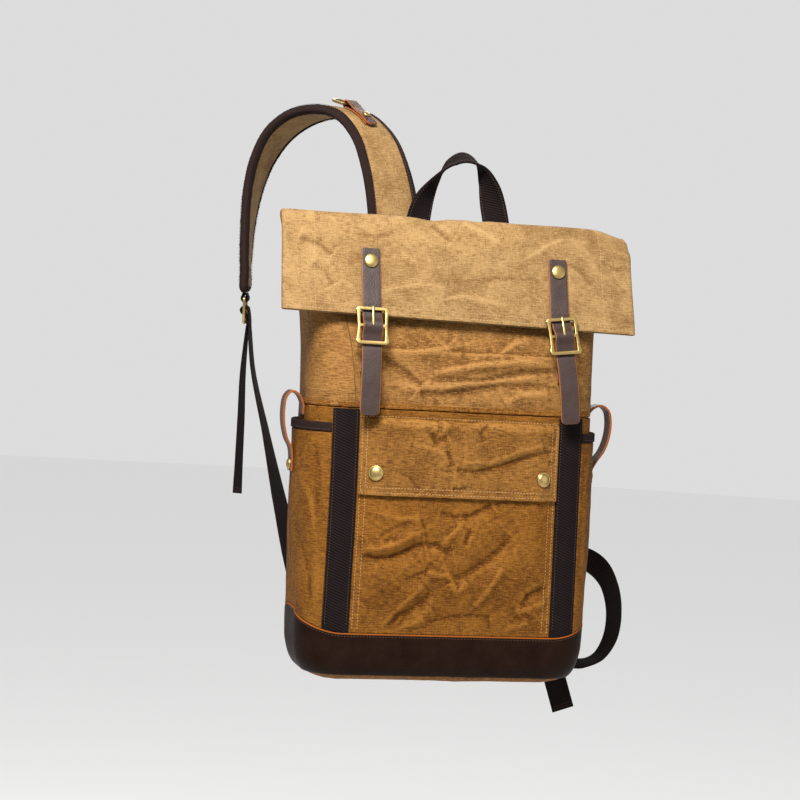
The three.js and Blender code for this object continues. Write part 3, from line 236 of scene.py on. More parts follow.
# Creases of the cloth, charted in the photograph's frame: the line that each follows, its rise in
# millimetres, and its widths in pixels above and below the line. A negative rise is a valley.
CREASE_GAIN = 1.4
CREASES = {
    "roll": [
        ([(432, 224), (440, 232), (452, 241)], -1.6, 5, 4),
        ([(300, 236), (318, 243), (332, 254)], -1.6, 10, 9),
        ([(352, 232), (375, 236), (395, 232)], -1.1, 9, 8),
        ([(313, 262), (326, 270), (333, 285)], -1.2, 9, 8),
        ([(462, 222), (480, 232), (500, 243)], 1.3, 6, 6),
        ([(520, 262), (548, 246), (566, 238)], 0.9, 8, 6),
        ([(402, 252), (411, 260), (416, 263)], 0.8, 3, 3),
        ([(452, 282), (500, 278), (540, 280)], -1.0, 12, 10),
        ([(384, 290), (420, 284), (446, 288)], 0.9, 9, 9),
        ([(566, 262), (582, 272), (592, 286)], -0.8, 6, 6),
        ([(440, 300), (462, 296), (500, 304)], 1.0, 8, 8),
        ([(600, 262), (615, 270), (628, 268)], -1.1, 8, 8),
    ],
    "front": [
        ([(381, 352), (392, 362), (409, 374), (422, 386)], -4.6, 5, 13),
        ([(384, 350), (412, 352), (440, 350), (462, 344)], 3.4, 7, 11),
        ([(404, 386), (440, 390), (470, 384), (505, 382), (538, 378)], 3.6, 11, 7),
        ([(420, 392), (460, 392), (505, 385), (545, 386)], -3.2, 4, 9),
        ([(440, 372), (480, 366), (520, 363), (549, 366)], 3.8, 8, 6),
        ([(438, 378), (480, 381), (520, 373), (552, 371)], -2.6, 4, 7),
        ([(452, 344), (463, 353), (466, 366)], -2.6, 8, 8),
        ([(497, 356), (512, 346), (528, 338)], 1.6, 5, 6),
        ([(505, 404), (520, 395), (548, 394)], 2.2, 7, 7),
        ([(330, 343), (343, 350), (358, 353)], -2.6, 4, 5),
        ([(318, 348), (345, 343), (360, 341)], 1.6, 6, 6),
        ([(306, 360), (315, 378), (316, 398)], 1.5, 8, 8),
        ([(330, 395), (345, 401), (362, 398)], 1.2, 8, 6),
        ([(574, 374), (583, 366), (590, 352)], 2.0, 5, 6),
        ([(579, 392), (588, 370), (593, 345)], -2.4, 4, 6),
        ([(571, 400), (577, 385), (577, 372)], -1.6, 5, 6),
    ],
    "flap": [
        ([(374, 415), (400, 418), (425, 424), (437, 425)], 1.8, 5, 9),
        ([(441, 421), (446, 427), (441, 438)], 2.0, 5, 6),
        ([(430, 433), (436, 442), (447, 437)], -2.4, 5, 5),
        ([(412, 445), (430, 448), (444, 455), (448, 466)], 1.7, 7, 7),
        ([(446, 450), (450, 462), (448, 474)], -1.7, 5, 4),
        ([(456, 470), (475, 472), (500, 467), (525, 458), (548, 452)], -2.6, 4, 10),
        ([(462, 462), (490, 464), (520, 452), (542, 446)], 1.6, 9, 6),
        ([(480, 424), (500, 420), (530, 419), (556, 420)], 2.0, 6, 10),
        ([(484, 442), (480, 432), (488, 426)], -1.2, 6, 6),
        ([(452, 489), (460, 490), (466, 487)], -1.6, 3, 4),
        ([(548, 462), (556, 466), (562, 470)], -1.3, 4, 5),
        ([(554, 424), (556, 436), (552, 448)], -1.1, 6, 4),
        ([(395, 470), (410, 478), (420, 492)], -1.0, 9, 9),
    ],
    "pocket": [
        ([(360, 555.5), (375, 557.5), (390, 557), (404, 552), (415, 546), (424, 544)], -3.8, 4, 9),
        ([(362, 550), (380, 549), (398, 544), (412, 535), (424, 532)], 2.6, 8, 6),
        ([(424, 543), (436, 545), (446, 550), (452, 549)], -2.2, 4, 5),
        ([(442, 550), (447, 540), (456, 530), (464, 520)], 1.6, 4, 5),
        ([(465, 545), (467, 537), (471, 529)], -1.6, 3, 3),
        ([(453, 581), (470, 572), (488, 560), (503, 546), (512, 538)], -3.0, 9, 7),
        ([(449, 582), (456, 592), (468, 583)], 1.8, 6, 5),
        ([(459, 522), (476, 513), (492, 505)], -2.4, 5, 9),
        ([(440, 512), (456, 517), (470, 515)], -1.6, 4, 6),
        ([(474, 606), (486, 592), (496, 578), (502, 568)], 2.2, 6, 5),
        ([(521, 606), (528, 596), (540, 590), (552, 586)], -2.6, 4, 9),
        ([(516, 613), (532, 607), (550, 600)], 1.8, 6, 6),
        ([(380, 628), (392, 614), (410, 597), (424, 585)], 1.9, 7, 5),
        ([(386, 631), (400, 616), (420, 604), (432, 590)], -2.0, 5, 6),
        ([(400, 628), (416, 622), (430, 606)], 1.5, 6, 6),
        ([(378, 512), (400, 519), (420, 518)], 1.5, 6, 5),
        ([(424, 626), (450, 621), (490, 616)], -1.8, 6, 9),
        ([(383, 543), (390, 538), (396, 540)], -1.0, 4, 4),
        ([(427, 571), (436, 575), (446, 575), (453, 580)], 1.5, 4, 4),
        ([(405, 580), (425, 572), (432, 562)], -1.2, 5, 5),
        ([(495, 640), (510, 628), (528, 622)], 1.2, 8, 8),
    ],
    "side": [
        ([(300, 470), (312, 500), (318, 540)], 1.6, 10, 10),
        ([(294, 520), (306, 560), (312, 600)], -1.5, 9, 9),
        ([(318, 450), (322, 480), (318, 520)], -1.0, 8, 8),
        ([(584, 470), (580, 520), (578, 580)], 1.2, 6, 6),
    ],
}


def crease_relief(name, points):
    """Relief of the charted creases at bag points, in millimetres, on the side that faces the camera."""
    u, v = seen_at(points)
    total = np.zeros(u.shape)
    for line, rise, above, below in CREASES[name]:
        nearest = np.full(u.shape, 1e9)
        side = np.zeros(u.shape)
        share = np.zeros(u.shape)
        spans = len(line) - 1
        for i in range(spans):
            (ax, ay), (bx, by) = line[i], line[i + 1]
            dx, dy = bx - ax, by - ay
            t = ((u - ax) * dx + (v - ay) * dy) / (dx * dx + dy * dy)
            held = np.clip(t, 0, 1)
            off_x, off_y = u - ax - held * dx, v - ay - held * dy
            away = np.hypot(off_x, off_y)
            closer = away < nearest
            nearest = np.where(closer, away, nearest)
            side = np.where(closer, dx * off_y - dy * off_x, side)
            share = np.where(closer, (i + held) / spans, share)
        downward = side * (1 if line[-1][0] >= line[0][0] else -1) > 0
        width = np.where(downward, below, above)
        fade = 0.25 + 0.75 * np.sin(np.pi * np.clip(share, 0, 1)) ** 0.5
        total += CREASE_GAIN * rise * fade * np.exp(-(nearest / width) ** 1.2)
    return total


# Meshes
def new_mesh(name, vertices, faces, uv=None, wear_and_shade=None, edge=None):
    mesh = bpy.data.meshes.new(name)
    mesh.from_pydata([tuple(p) for p in row(vertices)], [], [tuple(int(i) for i in f) for f in faces])
    if uv is not None:
        layer = mesh.uv_layers.new(name="cloth")
        loops = np.empty(len(mesh.loops), int)
        mesh.loops.foreach_get("vertex_index", loops)
        layer.data.foreach_set("uv", (np.asarray(uv, float) / 1000)[loops].astype(np.float32).ravel())
    for label, values, domain in (("wear_and_shade", wear_and_shade, "POINT"), ("edge", edge, "FACE")):
        if values is not None:
            layer = mesh.attributes.new(label, "FLOAT", domain)
            layer.data.foreach_set("value", np.asarray(values, np.float32))
    obj = bpy.data.objects.new(name, mesh)
    bpy.context.scene.collection.objects.link(obj)
    mesh.shade_smooth()
    return obj


def check_outward(obj):
    """Turn a closed mesh so that its faces point out."""
    bm = bmesh.new()
    bm.from_mesh(obj.data)
    if bm.calc_volume(signed=True) < 0:
        bmesh.ops.reverse_faces(bm, faces=bm.faces)
        bm.to_mesh(obj.data)
    bm.free()


def curvature(relief, spacing):
    """Ridges above and valleys below zero, from a grid of relief."""
    blur = relief.copy()
    for _ in range(3):
        padded = np.pad(blur, 1, mode="edge")
        blur = (padded[:-2, 1:-1] + padded[2:, 1:-1] + padded[1:-1, :-2] + padded[1:-1, 2:]) / 4
    return np.clip((relief - blur) / (0.05 * spacing * spacing), -1, 1)


def shell(name, outer, inner, uv, wear_and_shade, wrap=False, bare=0):
    """Closed sheet between an outer and an inner grid of points; its last `bare` rows show a raw edge."""
    rows, columns = outer.shape[:2]
    grid = np.arange(rows * columns).reshape(rows, columns)
    far = grid + rows * columns
    last = columns if wrap else columns - 1
    nxt = (np.arange(last) + 1) % columns
    now = np.arange(last)
    faces, edge = [], []

    def quads(a, b, c, d, rim):
        block = np.stack([a.ravel(), b.ravel(), c.ravel(), d.ravel()], axis=1)
        faces.append(block)
        edge.append((np.zeros(a.shape) + rim).ravel())

    raw = (np.arange(rows - 1) >= rows - 1 - bare)[:, None]
    quads(grid[:-1][:, now], grid[:-1][:, nxt], grid[1:][:, nxt], grid[1:][:, now], raw)
    quads(far[:-1][:, now], far[1:][:, now], far[1:][:, nxt], far[:-1][:, nxt], 0)
    quads(grid[0][now], far[0][now], far[0][nxt], grid[0][nxt], 1)
    quads(grid[-1][now], grid[-1][nxt], far[-1][nxt], far[-1][now], 1)
    if not wrap:
        quads(grid[:-1, 0], grid[1:, 0], far[1:, 0], far[:-1, 0], 1)
        quads(grid[:-1, -1], far[:-1, -1], far[1:, -1], grid[1:, -1], 1)
    vertices = np.concatenate([outer.reshape(-1, 3), inner.reshape(-1, 3)])
    obj = new_mesh(name, vertices, np.concatenate(faces), np.tile(uv.reshape(-1, 2), (2, 1)),
                   np.tile(wear_and_shade.ravel(), 2), np.concatenate(edge))
    check_outward(obj)
    return obj


RIM_SHARE = 0.42


class Sheet:
    """Cloth or leather over a base surface. The base gives bag points from across and up in millimetres."""

    def __init__(self, base, relief=None, lift=0.0, wall=CLOTH):
        self.base, self.relief, self.lift, self.wall = base, relief, lift, wall

    def frames(self, a, b):
        a, b = np.broadcast_arrays(np.asarray(a, float), np.asarray(b, float))
        step = 0.5
        place = self.base(a, b)
        across = self.base(a + step, b) - self.base(a - step, b)
        up = self.base(a, b + step) - self.base(a, b - step)
        return place, unit(np.cross(across, up))

    def at(self, a, b, out=0.0):
        place, normal = self.frames(a, b)
        raised = self.relief(np.asarray(a, float), np.asarray(b, float), place) if self.relief else 0
        return place + normal * (self.lift + raised + out)[..., None]

    def build(self, name, columns, rows, soft=0.6, top=None, ring=False, bare=0):
        """Mesh over its columns and rows, closed round the bag if it is a ring.

        top gives each column's lowest and highest up, soft rounds the rim, and bare rows show a raw edge.
        """
        columns, rows = np.asarray(columns, float), np.asarray(rows, float)
        a, b = np.meshgrid(columns, rows)
        if top is not None:
            low_edge, high_edge = top(columns)
            share = (rows - rows[0]) / (rows[-1] - rows[0])
            b = mix(low_edge[None, :], high_edge[None, :], share[:, None])
        place, normal = self.frames(a, b)
        raised = self.relief(a, b, place) if self.relief else 0 * a
        rims = [b - b.min(axis=0), b.max(axis=0) - b]
        if not ring:
            rims += [a - a.min(), a.max() - a]
        rim = np.minimum.reduce(rims)
        fall = self.wall * RIM_SHARE * (1 - np.sqrt(1 - (1 - np.clip(rim / soft, 0, 1)) ** 2))
        outer = place + normal * (self.lift + raised + self.wall - fall)[..., None]
        inner = place + normal * (self.lift + raised + fall)[..., None]
        # Curvature of the relief, for the canvas: ridges paled as wear and painted highlight, valleys
        # darkened as painted shade.
        if ring:
            steps = np.linalg.norm(np.diff(place, axis=1), axis=-1).mean(axis=0)
            across = np.concatenate([[0], np.cumsum(steps)])
            even = np.linspace(0, across[-1], 2 * len(across))
            wear_and_shade = curvature(np.array([np.interp(even, across, line) for line in raised]), even[1])
            wear_and_shade = np.array([np.interp(across, even, line) for line in wear_and_shade])
        else:
            across = columns
            middle = len(columns) // 2
            wear_and_shade = curvature(raised, max(abs(columns[middle + 1] - columns[middle]), 0.5))
        return shell(name, outer, inner, np.stack([across + 0 * b, b], axis=-1), wear_and_shade, wrap=ring, bare=bare)


def spots(start, end, spacing, soft=0.6):
    """Even spots with a close pair near each end, for the rounding of a rim."""
    count = max(int(round((end - start) / spacing)), 2)
    inside = np.linspace(start, end, count + 1)[1:-1]
    inside = inside[(inside > start + soft * 1.3) & (inside < end - soft * 1.3)]
    first, last = [start, start + soft * 0.35, start + soft], [end - soft, end - soft * 0.35, end]
    return np.concatenate([first, inside, last])


def finish_piece(obj, material, body=BAG, replaces=()):
    obj.data.materials.clear()
    obj.data.materials.append(material)
    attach(obj, body)
    if replaces:
        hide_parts(*replaces)
    return obj


def loft_faces(levels, count, start=0):
    """Faces through rings of the same count of points, one level after another, with both ends shut."""
    faces = []
    for level in range(levels - 1):
        for j in range(count):
            a, b = start + level * count + j, start + level * count + (j + 1) % count
            faces.append((a, b, b + count, a + count))
    faces.append(tuple(start + j for j in reversed(range(count))))
    faces.append(tuple(start + (levels - 1) * count + j for j in range(count)))
    return faces


def read_line(run, values, at):
    """Rows of values, known at runs, read at another run."""
    return np.array([np.interp(at, run, values[:, i]) for i in range(3)])


# Stitches, each a short bead of thread
BEAD = [(-0.5, 0.35), (-0.28, 1), (0.28, 1), (0.5, 0.35)]
BEAD_SIDES = 6


def stitches(name, lines, material, length=2.3, pitch=3.3, radius=0.27, sink=0.1):
    """Rows of stitches. Each line is (points, normals) on its surface in bag millimetres."""
    vertices, faces = [], []
    for points, normals in lines:
        points, normals = np.asarray(points, float), np.asarray(normals, float)
        run = np.concatenate([[0], np.cumsum(np.linalg.norm(np.diff(points, axis=0), axis=1))])
        count = int(run[-1] // pitch)
        for k in range(count):
            middle = (k + 0.5) * run[-1] / count
            place = read_line(run, points, middle)
            normal = unit(read_line(run, normals, middle))
            along = unit(read_line(run, points, middle + 0.8) - read_line(run, points, middle - 0.8))
            side = unit(np.cross(along, normal))
            normal = np.cross(side, along)
            faces += loft_faces(len(BEAD), BEAD_SIDES, len(vertices))
            for share, wide in BEAD:
                for j in range(BEAD_SIDES):
                    angle = 2 * math.pi * j / BEAD_SIDES
                    out = radius * wide * math.sin(angle) * 0.8 - sink * (2 * share) ** 2
                    vertices.append(place + along * share * length + side * radius * wide * math.cos(angle)
                                    + normal * out)
    obj = new_mesh(name, vertices, faces)
    bm = bmesh.new()
    bm.from_mesh(obj.data)
    bmesh.ops.recalc_face_normals(bm, faces=bm.faces)
    bm.to_mesh(obj.data)
    bm.free()
    return finish_piece(obj, material)


def sheet_line(sheet, a, b, out=None):
    """Points and normals along a line on the outside of a sheet."""
    a, b = np.broadcast_arrays(np.asarray(a, float), np.asarray(b, float))
    out = sheet.wall if out is None else out
    step = 0.7
    points = sheet.at(a, b, out)
    across = sheet.at(a + step, b, out) - sheet.at(a - step, b, out)
    up = sheet.at(a, b + step, out) - sheet.at(a, b - step, out)
    return points, unit(np.cross(across, up))


# Materials: a small class writes shader arithmetic as expressions
class Node:
    """An output socket of a shader graph, with arithmetic."""

    def __init__(self, tree, socket):
        self.tree, self.socket = tree, socket

    def math(self, kind, *others, clamp=False):
        node = self.tree.nodes.new("ShaderNodeMath")
        node.operation = kind
        node.use_clamp = clamp
        for slot, value in zip(node.inputs, (self, *others)):
            put(self.tree, slot, value)
        return Node(self.tree, node.outputs[0])

    def __add__(self, other):
        return self.math("ADD", other)

    def __sub__(self, other):
        return self.math("SUBTRACT", other)

    def __mul__(self, other):
        return self.math("MULTIPLY", other)

    def __truediv__(self, other):
        return self.math("DIVIDE", other)

    def __pow__(self, other):
        return self.math("POWER", other)

    def __rsub__(self, other):
        return (self * -1) + other

    __radd__ = __add__
    __rmul__ = __mul__

    def clamp(self):
        return self.math("ADD", 0, clamp=True)

    def ramp(self, start, end):
        return ((self - start) / (end - start)).clamp()


def put(tree, slot, value):
    if isinstance(value, Node):
        tree.links.new(value.socket, slot)
    else:
        slot.default_value = value


class Shader:
    """One material: its graph, its coordinates and its main shader."""

    def __init__(self, name, color, roughness, metallic=0.0, gloss=0.5):
        self.material = bpy.data.materials.new(name)
        self.material.use_nodes = True
        self.tree = self.material.node_tree
        self.main = self.tree.nodes["Principled BSDF"]
        self.set(Base_Color=(*color, 1), Roughness=roughness, Metallic=metallic, Specular_IOR_Level=gloss)
        coordinates = self.tree.nodes.new("ShaderNodeTexCoord")
        self.object = Node(self.tree, coordinates.outputs["Object"])
        self.uv = Node(self.tree, coordinates.outputs["UV"])

    def node(self, kind, output=0, settings=None, **inputs):
        made = self.tree.nodes.new("ShaderNode" + kind)
        for key, value in (settings or {}).items():
            setattr(made, key, value)
        for key, value in inputs.items():
            put(self.tree, made.inputs[key.replace("_", " ")], value)
        return Node(self.tree, made.outputs[output])

    def noise(self, vector, scale, detail=3.0, roughness=0.55):
        return self.node("TexNoise", "Fac", Vector=vector, Scale=scale, Detail=detail, Roughness=roughness)

    def wave(self, vector, scale, distortion=0.0, direction="X", detail=1.0):
        return self.node("TexWave", "Fac", {"bands_direction": direction}, Vector=vector, Scale=scale,
                         Distortion=distortion, Detail=detail)

    def stretched(self, vector, x, y, z=1.0, turn=0.0):
        return self.node("Mapping", 0, Vector=vector, Scale=(x, y, z), Rotation=(0, 0, math.radians(turn)))

    def attribute(self, name):
        return self.node("Attribute", "Fac", {"attribute_name": name})

    def blend(self, share, first, second):
        made = self.tree.nodes.new("ShaderNodeMix")
        made.data_type = "RGBA"
        put(self.tree, made.inputs[0], share)
        for slot, value in ((made.inputs[6], first), (made.inputs[7], second)):
            put(self.tree, slot, value if isinstance(value, Node) else (*value, 1))
        return Node(self.tree, made.outputs[2])

    def set(self, **values):
        for key, value in values.items():
            put(self.tree, self.main.inputs[key.replace("_", " ")], value)

    def bump(self, height, distance, strength=1.0):
        return self.node("Bump", 0, Height=height, Distance=distance, Strength=strength)


def canvas(name, color, pale, dark, slub=1.0, mottle=0.5):
    """Waxed canvas: fine weave with slubs across, ridges paled as wear and painted highlight, valleys
    darkened as painted shade, and cloudy wax.
    """
    s = Shader(name, color, 0.72, gloss=0.05)
    thread = s.wave(s.uv, 420, 1.2) * 0.5 + s.wave(s.uv, 420, 1.2, "Y") * 0.5
    slubs = s.noise(s.stretched(s.uv, 130, 760), 1.0, 3.0, 0.6)
    upright = s.noise(s.stretched(s.uv, 700, 120), 1.0, 2.0)
    grain = s.noise(s.uv, 700, 2.0)
    bent = s.uv + s.noise(s.uv, 30, 3.0) * 0.02
    lines = s.node("TexVoronoi", "Distance", {"feature": "DISTANCE_TO_EDGE"}, Vector=bent, Scale=34)
    crease = (1 - lines.ramp(0.0, 0.045)) * s.noise(s.uv, 22, 2.0).ramp(0.5, 0.66)
    clouds = s.noise(s.uv, 16, 5.0, 0.6)
    blotch = s.noise(s.uv, 60, 4.0, 0.65)
    scuff = s.noise(s.stretched(s.uv, 90, 30, turn=35), 1.0, 6.0, 0.7).ramp(0.66, 0.74)
    wear_and_shade = s.attribute("wear_and_shade")
    tone = s.blend(((clouds - 0.5) * mottle * 3.6 + 0.5).clamp(), dark, pale)
    tone = s.blend(0.3, tone, color)
    # Ridges paled, partly as wear and partly as painted highlight; valleys darkened as painted shade.
    tone = s.blend((wear_and_shade * 0.75).clamp(), tone, pale)
    tone = s.blend((wear_and_shade * -0.75).clamp(), tone, dark)
    fleck = (slubs - 0.5) * 1.3 * slub + (upright - 0.5) * 0.5 + (grain - 0.5) * 0.6 \
        + (blotch - 0.5) * 0.8 * mottle
    tone = s.blend((fleck * 2.6).clamp(), tone, pale)
    tone = s.blend((fleck * -2.6).clamp(), tone, dark)
    tone = s.blend(scuff * 0.3 + crease * 0.5, tone, pale)
    height = thread * 0.35 + slubs * 1.0 * slub + grain * 0.45 + blotch * 1.6 + crease * 0.8
    s.set(Base_Color=tone, Roughness=(0.66 + (clouds - 0.5) * 0.3 + (wear_and_shade * -0.1)).clamp(),
          Normal=s.bump(height, 0.0006, 1.0))
    return s.material


def leather(name, color, raw, pale, gloss=0.3):
    """Oiled leather: fine grain and creases, a soft sheen, and bare edges of another colour."""
    s = Shader(name, color, 0.42, gloss=gloss)
    pores = s.node("TexVoronoi", "Distance", Vector=s.uv, Scale=900)
    creases = s.noise(s.uv, 260, 5.0, 0.65)
    clouds = s.noise(s.uv, 45, 4.0, 0.6)
    edge = s.attribute("edge")
    tone = s.blend((clouds - 0.3).clamp(), color, pale)
    tone = s.blend(((creases - 0.55) * 1.4).clamp(), tone, pale)
    tone = s.blend(edge * 0.9, tone, raw)
    s.set(Base_Color=tone, Roughness=(0.36 + clouds * 0.25 + edge * 0.3).clamp(),
          Normal=s.bump(creases * 1.1 + pores * 0.7 + clouds * 0.8, 0.0003, 0.8))
    return s.material


def webbing(name, color, pale, pitch=480, turn=24):
    """Twill webbing: slanted ribs, a little fuzz and paler selvedge threads."""
    s = Shader(name, color, 0.85, gloss=0.03)
    ribs = s.wave(s.stretched(s.uv, 1, 1, turn=turn), pitch / 4, 0.25, "Y")
    thread = s.wave(s.uv, pitch * 0.8, 0.4, "X")
    fuzz = s.noise(s.uv, 1400, 2.0)
    clouds = s.noise(s.uv, 40, 3.0)
    mixed = ribs * 0.55 + thread * 0.2 + (fuzz - 0.5) * 0.5 + (clouds - 0.5) * 0.4
    tone = s.blend(mixed.clamp(), color, pale)
    s.set(Base_Color=tone, Normal=s.bump(ribs * 1.0 + thread * 0.5 + fuzz * 0.4, 0.0004, 0.9))
    return s.material


def brass(name, color, dark):
    s = Shader(name, color, 0.3, metallic=1.0)
    clouds = s.noise(s.object, 160, 4.0, 0.6)
    specks = s.noise(s.object, 900, 3.0, 0.6)
    tone = s.blend((clouds.ramp(0.38, 0.75) * 0.55 + specks.ramp(0.6, 0.8) * 0.3).clamp(), color, dark)
    s.set(Base_Color=tone, Roughness=(0.2 + clouds * 0.28 + specks * 0.06).clamp(),
          Normal=s.bump(specks + clouds * 2.0, 0.0001, 0.6))
    return s.material


def thread(name, color):
    s = Shader(name, color, 0.75, gloss=0.2)
    twist = s.noise(s.object, 1500, 2.0)
    s.set(Base_Color=s.blend(twist * 0.5, color, [channel * 0.55 for channel in color]))
    return s.material


CANVAS = canvas("waxed canvas", (0.086, 0.0295, 0.0026), (0.172, 0.071, 0.0108), (0.036, 0.0105, 0.0009))
CANVAS_TOP = canvas("waxed canvas, upper", (0.124, 0.055, 0.0125), (0.22, 0.110, 0.033),
                    (0.052, 0.0195, 0.0036))
CANVAS_COVER = canvas("waxed canvas, cover", (0.091, 0.035, 0.0045), (0.182, 0.084, 0.0187),
                      (0.038, 0.0124, 0.0016))
LIGHT = canvas("light canvas", (0.148, 0.086, 0.032), (0.225, 0.140, 0.059),
               (0.076, 0.037, 0.0105), 0.85, 0.75)
LEATHER_DARK = leather("dark leather", (0.0058, 0.0023, 0.0012), (0.16, 0.045, 0.008),
                       (0.017, 0.008, 0.0048), 0.03)
# Strap leather: paler than the band's leather, partly its own tone and partly painted sheen.
LEATHER_STRAP_TONE_AND_SHEEN = leather("strap leather, tone and painted sheen", (0.018, 0.0098, 0.0078), (0.18, 0.055, 0.011),
                        (0.036, 0.022, 0.0185), 0.2)
LEATHER_TAN = leather("tan leather", (0.018, 0.0062, 0.003), (0.17, 0.045, 0.009),
                      (0.040, 0.0145, 0.007), 0.2)
WEBBING = webbing("webbing", (0.0028, 0.0018, 0.0018), (0.0135, 0.009, 0.0087))
BINDING = webbing("binding", (0.009, 0.005, 0.0045), (0.026, 0.0155, 0.0135), 1100, 0)
BRASS = brass("brass", (0.36, 0.255, 0.095), (0.07, 0.042, 0.016))
THREAD_PALE = thread("cream thread", (0.30, 0.185, 0.085))
THREAD_DARK = thread("dark thread", (0.045, 0.025, 0.016))
THREAD_BROWN = thread("brown thread", (0.22, 0.095, 0.03))

# The main bag
PERIMETER = 2 * (2 * FLAT_FRONT + 2 * CORNER_ARC + FLAT_SIDE)
RING_PLACES = [0, 1, 2, 4, 5, 7, 8, 10, 11, 12]
RING_LENGTHS = np.cumsum([0, FLAT_FRONT, CORNER_ARC, FLAT_SIDE, CORNER_ARC, 2 * FLAT_FRONT,
                          CORNER_ARC, FLAT_SIDE, CORNER_ARC, FLAT_FRONT])


def ring_place(a):
    """Place in the outline, 0 to 12, of a length round the bag."""
    return np.interp(np.mod(a, PERIMETER), RING_LENGTHS, RING_PLACES)


def body_base(a, b):
    """The bag's wall at a length round it and a height. Below zero b runs in over the floor."""
    inward = 1 - np.clip(-b, 0, 60) / 60 * 0.995
    point = on_body(ring_place(a), np.maximum(b, 0))
    point[..., 0] *= inward
    point[..., 1] *= inward
    return point


def soft_relief(amount, size, seed):
    """Relief with folds of one amount and size all over."""
    def relief(a, b, place):
        return folds(a, b, (amount, size, seed), (amount * 0.6, size * 2.2, seed + 9),
                     (amount * 0.16, size / 3.2, seed + 4))
    return relief


def folds(a, b, large, wave, fine):
    """Large folds, slow waves and fine folds together, each as its amount, size and seed."""
    return large[0] * crumple(a, b, *large[1:]) + wave[0] * noise(a / wave[1], b / wave[1], wave[2]) \
        + fine[0] * crumple(a, b, *fine[1:])


body = Sheet(body_base, soft_relief(0.7, 26, 2), lift=-CLOTH)
body_columns = np.linspace(-PERIMETER / 2, PERIMETER / 2, 181)[:-1]
body_rows = np.concatenate([[-60, -45, -30, -15, -5], np.linspace(0, 20, 12)[:-1],
                            np.linspace(20, 250, 60)[:-1], spots(250, SEAM_HEIGHT - GAP, 1.6)])
lower = finish_piece(body.build("main_bag", body_columns, body_rows, ring=True), CANVAS,
                     replaces=("lower_body", "base_panel"))

# The rolltop: an upright tube whose top folds forward and hangs as a flap
TUBE_RISE = FOLD_HEIGHT - FLAP_THICK / 2 - SEAM_HEIGHT
TUBE_TABLE = [
    # up, back, lean, wide, deep, round
    (0, 0.01, 0, 0.81, 0.935, 1),
    (0.11, 0.016, 0, 0.81, 0.93, 0.95),
    (0.23, 0.026, 0, 0.812, 0.91, 0.9),
    (0.36, 0.042, 0, 0.816, 0.87, 0.82),
    (0.49, 0.062, 0, 0.826, 0.8, 0.72),
    (0.62, 0.084, 0, 0.85, 0.69, 0.58),
    (0.75, 0.098, 2, 0.888, 0.53, 0.4),
    (0.86, 0.084, 9, 0.935, 0.33, 0.24),
    (0.94, 0.052, 24, 0.972, 0.165, 0.13),
    (0.985, 0.002, 55, 0.99, 0.082, 0.085),
    (1, -0.06, 95, 0.995, 0.062, 0.08),
    (0.98, -0.12, 135, 0.997, 0.058, 0.08),
    (0.93, -0.166, 156, 0.998, 0.058, 0.08),
]
FLAP_TABLE = [
    # down, back, lean, wide, deep, round
    (0.22, -0.206, 163, 1, 0.058, 0.08),
    (0.38, -0.25, 163, 1, 0.058, 0.08),
    (0.55, -0.297, 163, 1.002, 0.058, 0.08),
    (0.72, -0.345, 164, 1.004, 0.06, 0.08),
    (0.87, -0.384, 167, 1.006, 0.064, 0.085),
    (1, -0.412, 172, 1.006, 0.072, 0.09),
]
heights = [SEAM_HEIGHT + line[0] * TUBE_RISE for line in TUBE_TABLE]
heights += [FOLD_HEIGHT - line[0] * FLAP_DROP for line in FLAP_TABLE]
tube = np.array([(0, z, *line[1:]) for z, line in zip(heights, TUBE_TABLE + FLAP_TABLE)])
tube[1:, 0] = np.cumsum(np.hypot(np.diff(tube[:, 1]), np.diff(tube[:, 2]) * BODY_DEPTH))
TUBE_END = tube[-1, 0]
FOLD_ROW = 9
FOLD_RUN = tube[FOLD_ROW, 0]
HALF_FLAP = FLAP_WIDTH / 2
FLAT_FLAP = HALF_FLAP - 3
FLAP_KNOTS = np.cumsum([0, FLAT_FLAP, 5, 2, 5, 2 * FLAT_FLAP, 5, 2, 5, FLAT_FLAP])
FLAP_ROUND = FLAP_KNOTS[-1]
DIPS = [
    # at, width, drop: shares of half the flap width and of the sag
    (1, 0.13, 1),
    (-0.14, 0.08, 0.25),
    (0.12, 0.05, 0.16),
]


def tube_base(a, b):
    """The tube at a length round it, from zero at the front middle, and a length up its path."""
    a, b = np.broadcast_arrays(np.asarray(a, float), np.asarray(b, float))
    q = np.interp(np.mod(a, FLAP_ROUND), FLAP_KNOTS, RING_PLACES)
    rows = smooth_table(tube, 0, np.clip(b, 0, TUBE_END))
    z, back, lean = rows[..., 1], rows[..., 2], rows[..., 3]
    lean = np.radians(lean)
    x, y = outline(rows[..., 4] * HALF_FLAP, rows[..., 5] * BODY_DEPTH / 2, rows[..., 6] * CORNER, q, 0)
    raised = ease(z, FOLD_HEIGHT - FLAP_DROP / 3, FOLD_HEIGHT)
    shift = FLAP_SHIFT * ease(z, SEAM_HEIGHT, mix(SEAM_HEIGHT, FOLD_HEIGHT, 0.8))
    dip = sum(TOP_SAG * drop * np.exp(-((x / HALF_FLAP - at) / width) ** 2) for at, width, drop in DIPS)
    hung = np.where(np.degrees(lean) > 90, ease(FOLD_HEIGHT - z, 0, FLAP_DROP) * HEM_SLOPE * x, 0)
    beyond = np.maximum(b - TUBE_END, 0)
    return np.stack([x + shift, back * BODY_DEPTH + y * np.cos(lean),
                     z + y * np.sin(lean) - dip * raised - hung - beyond], axis=-1)


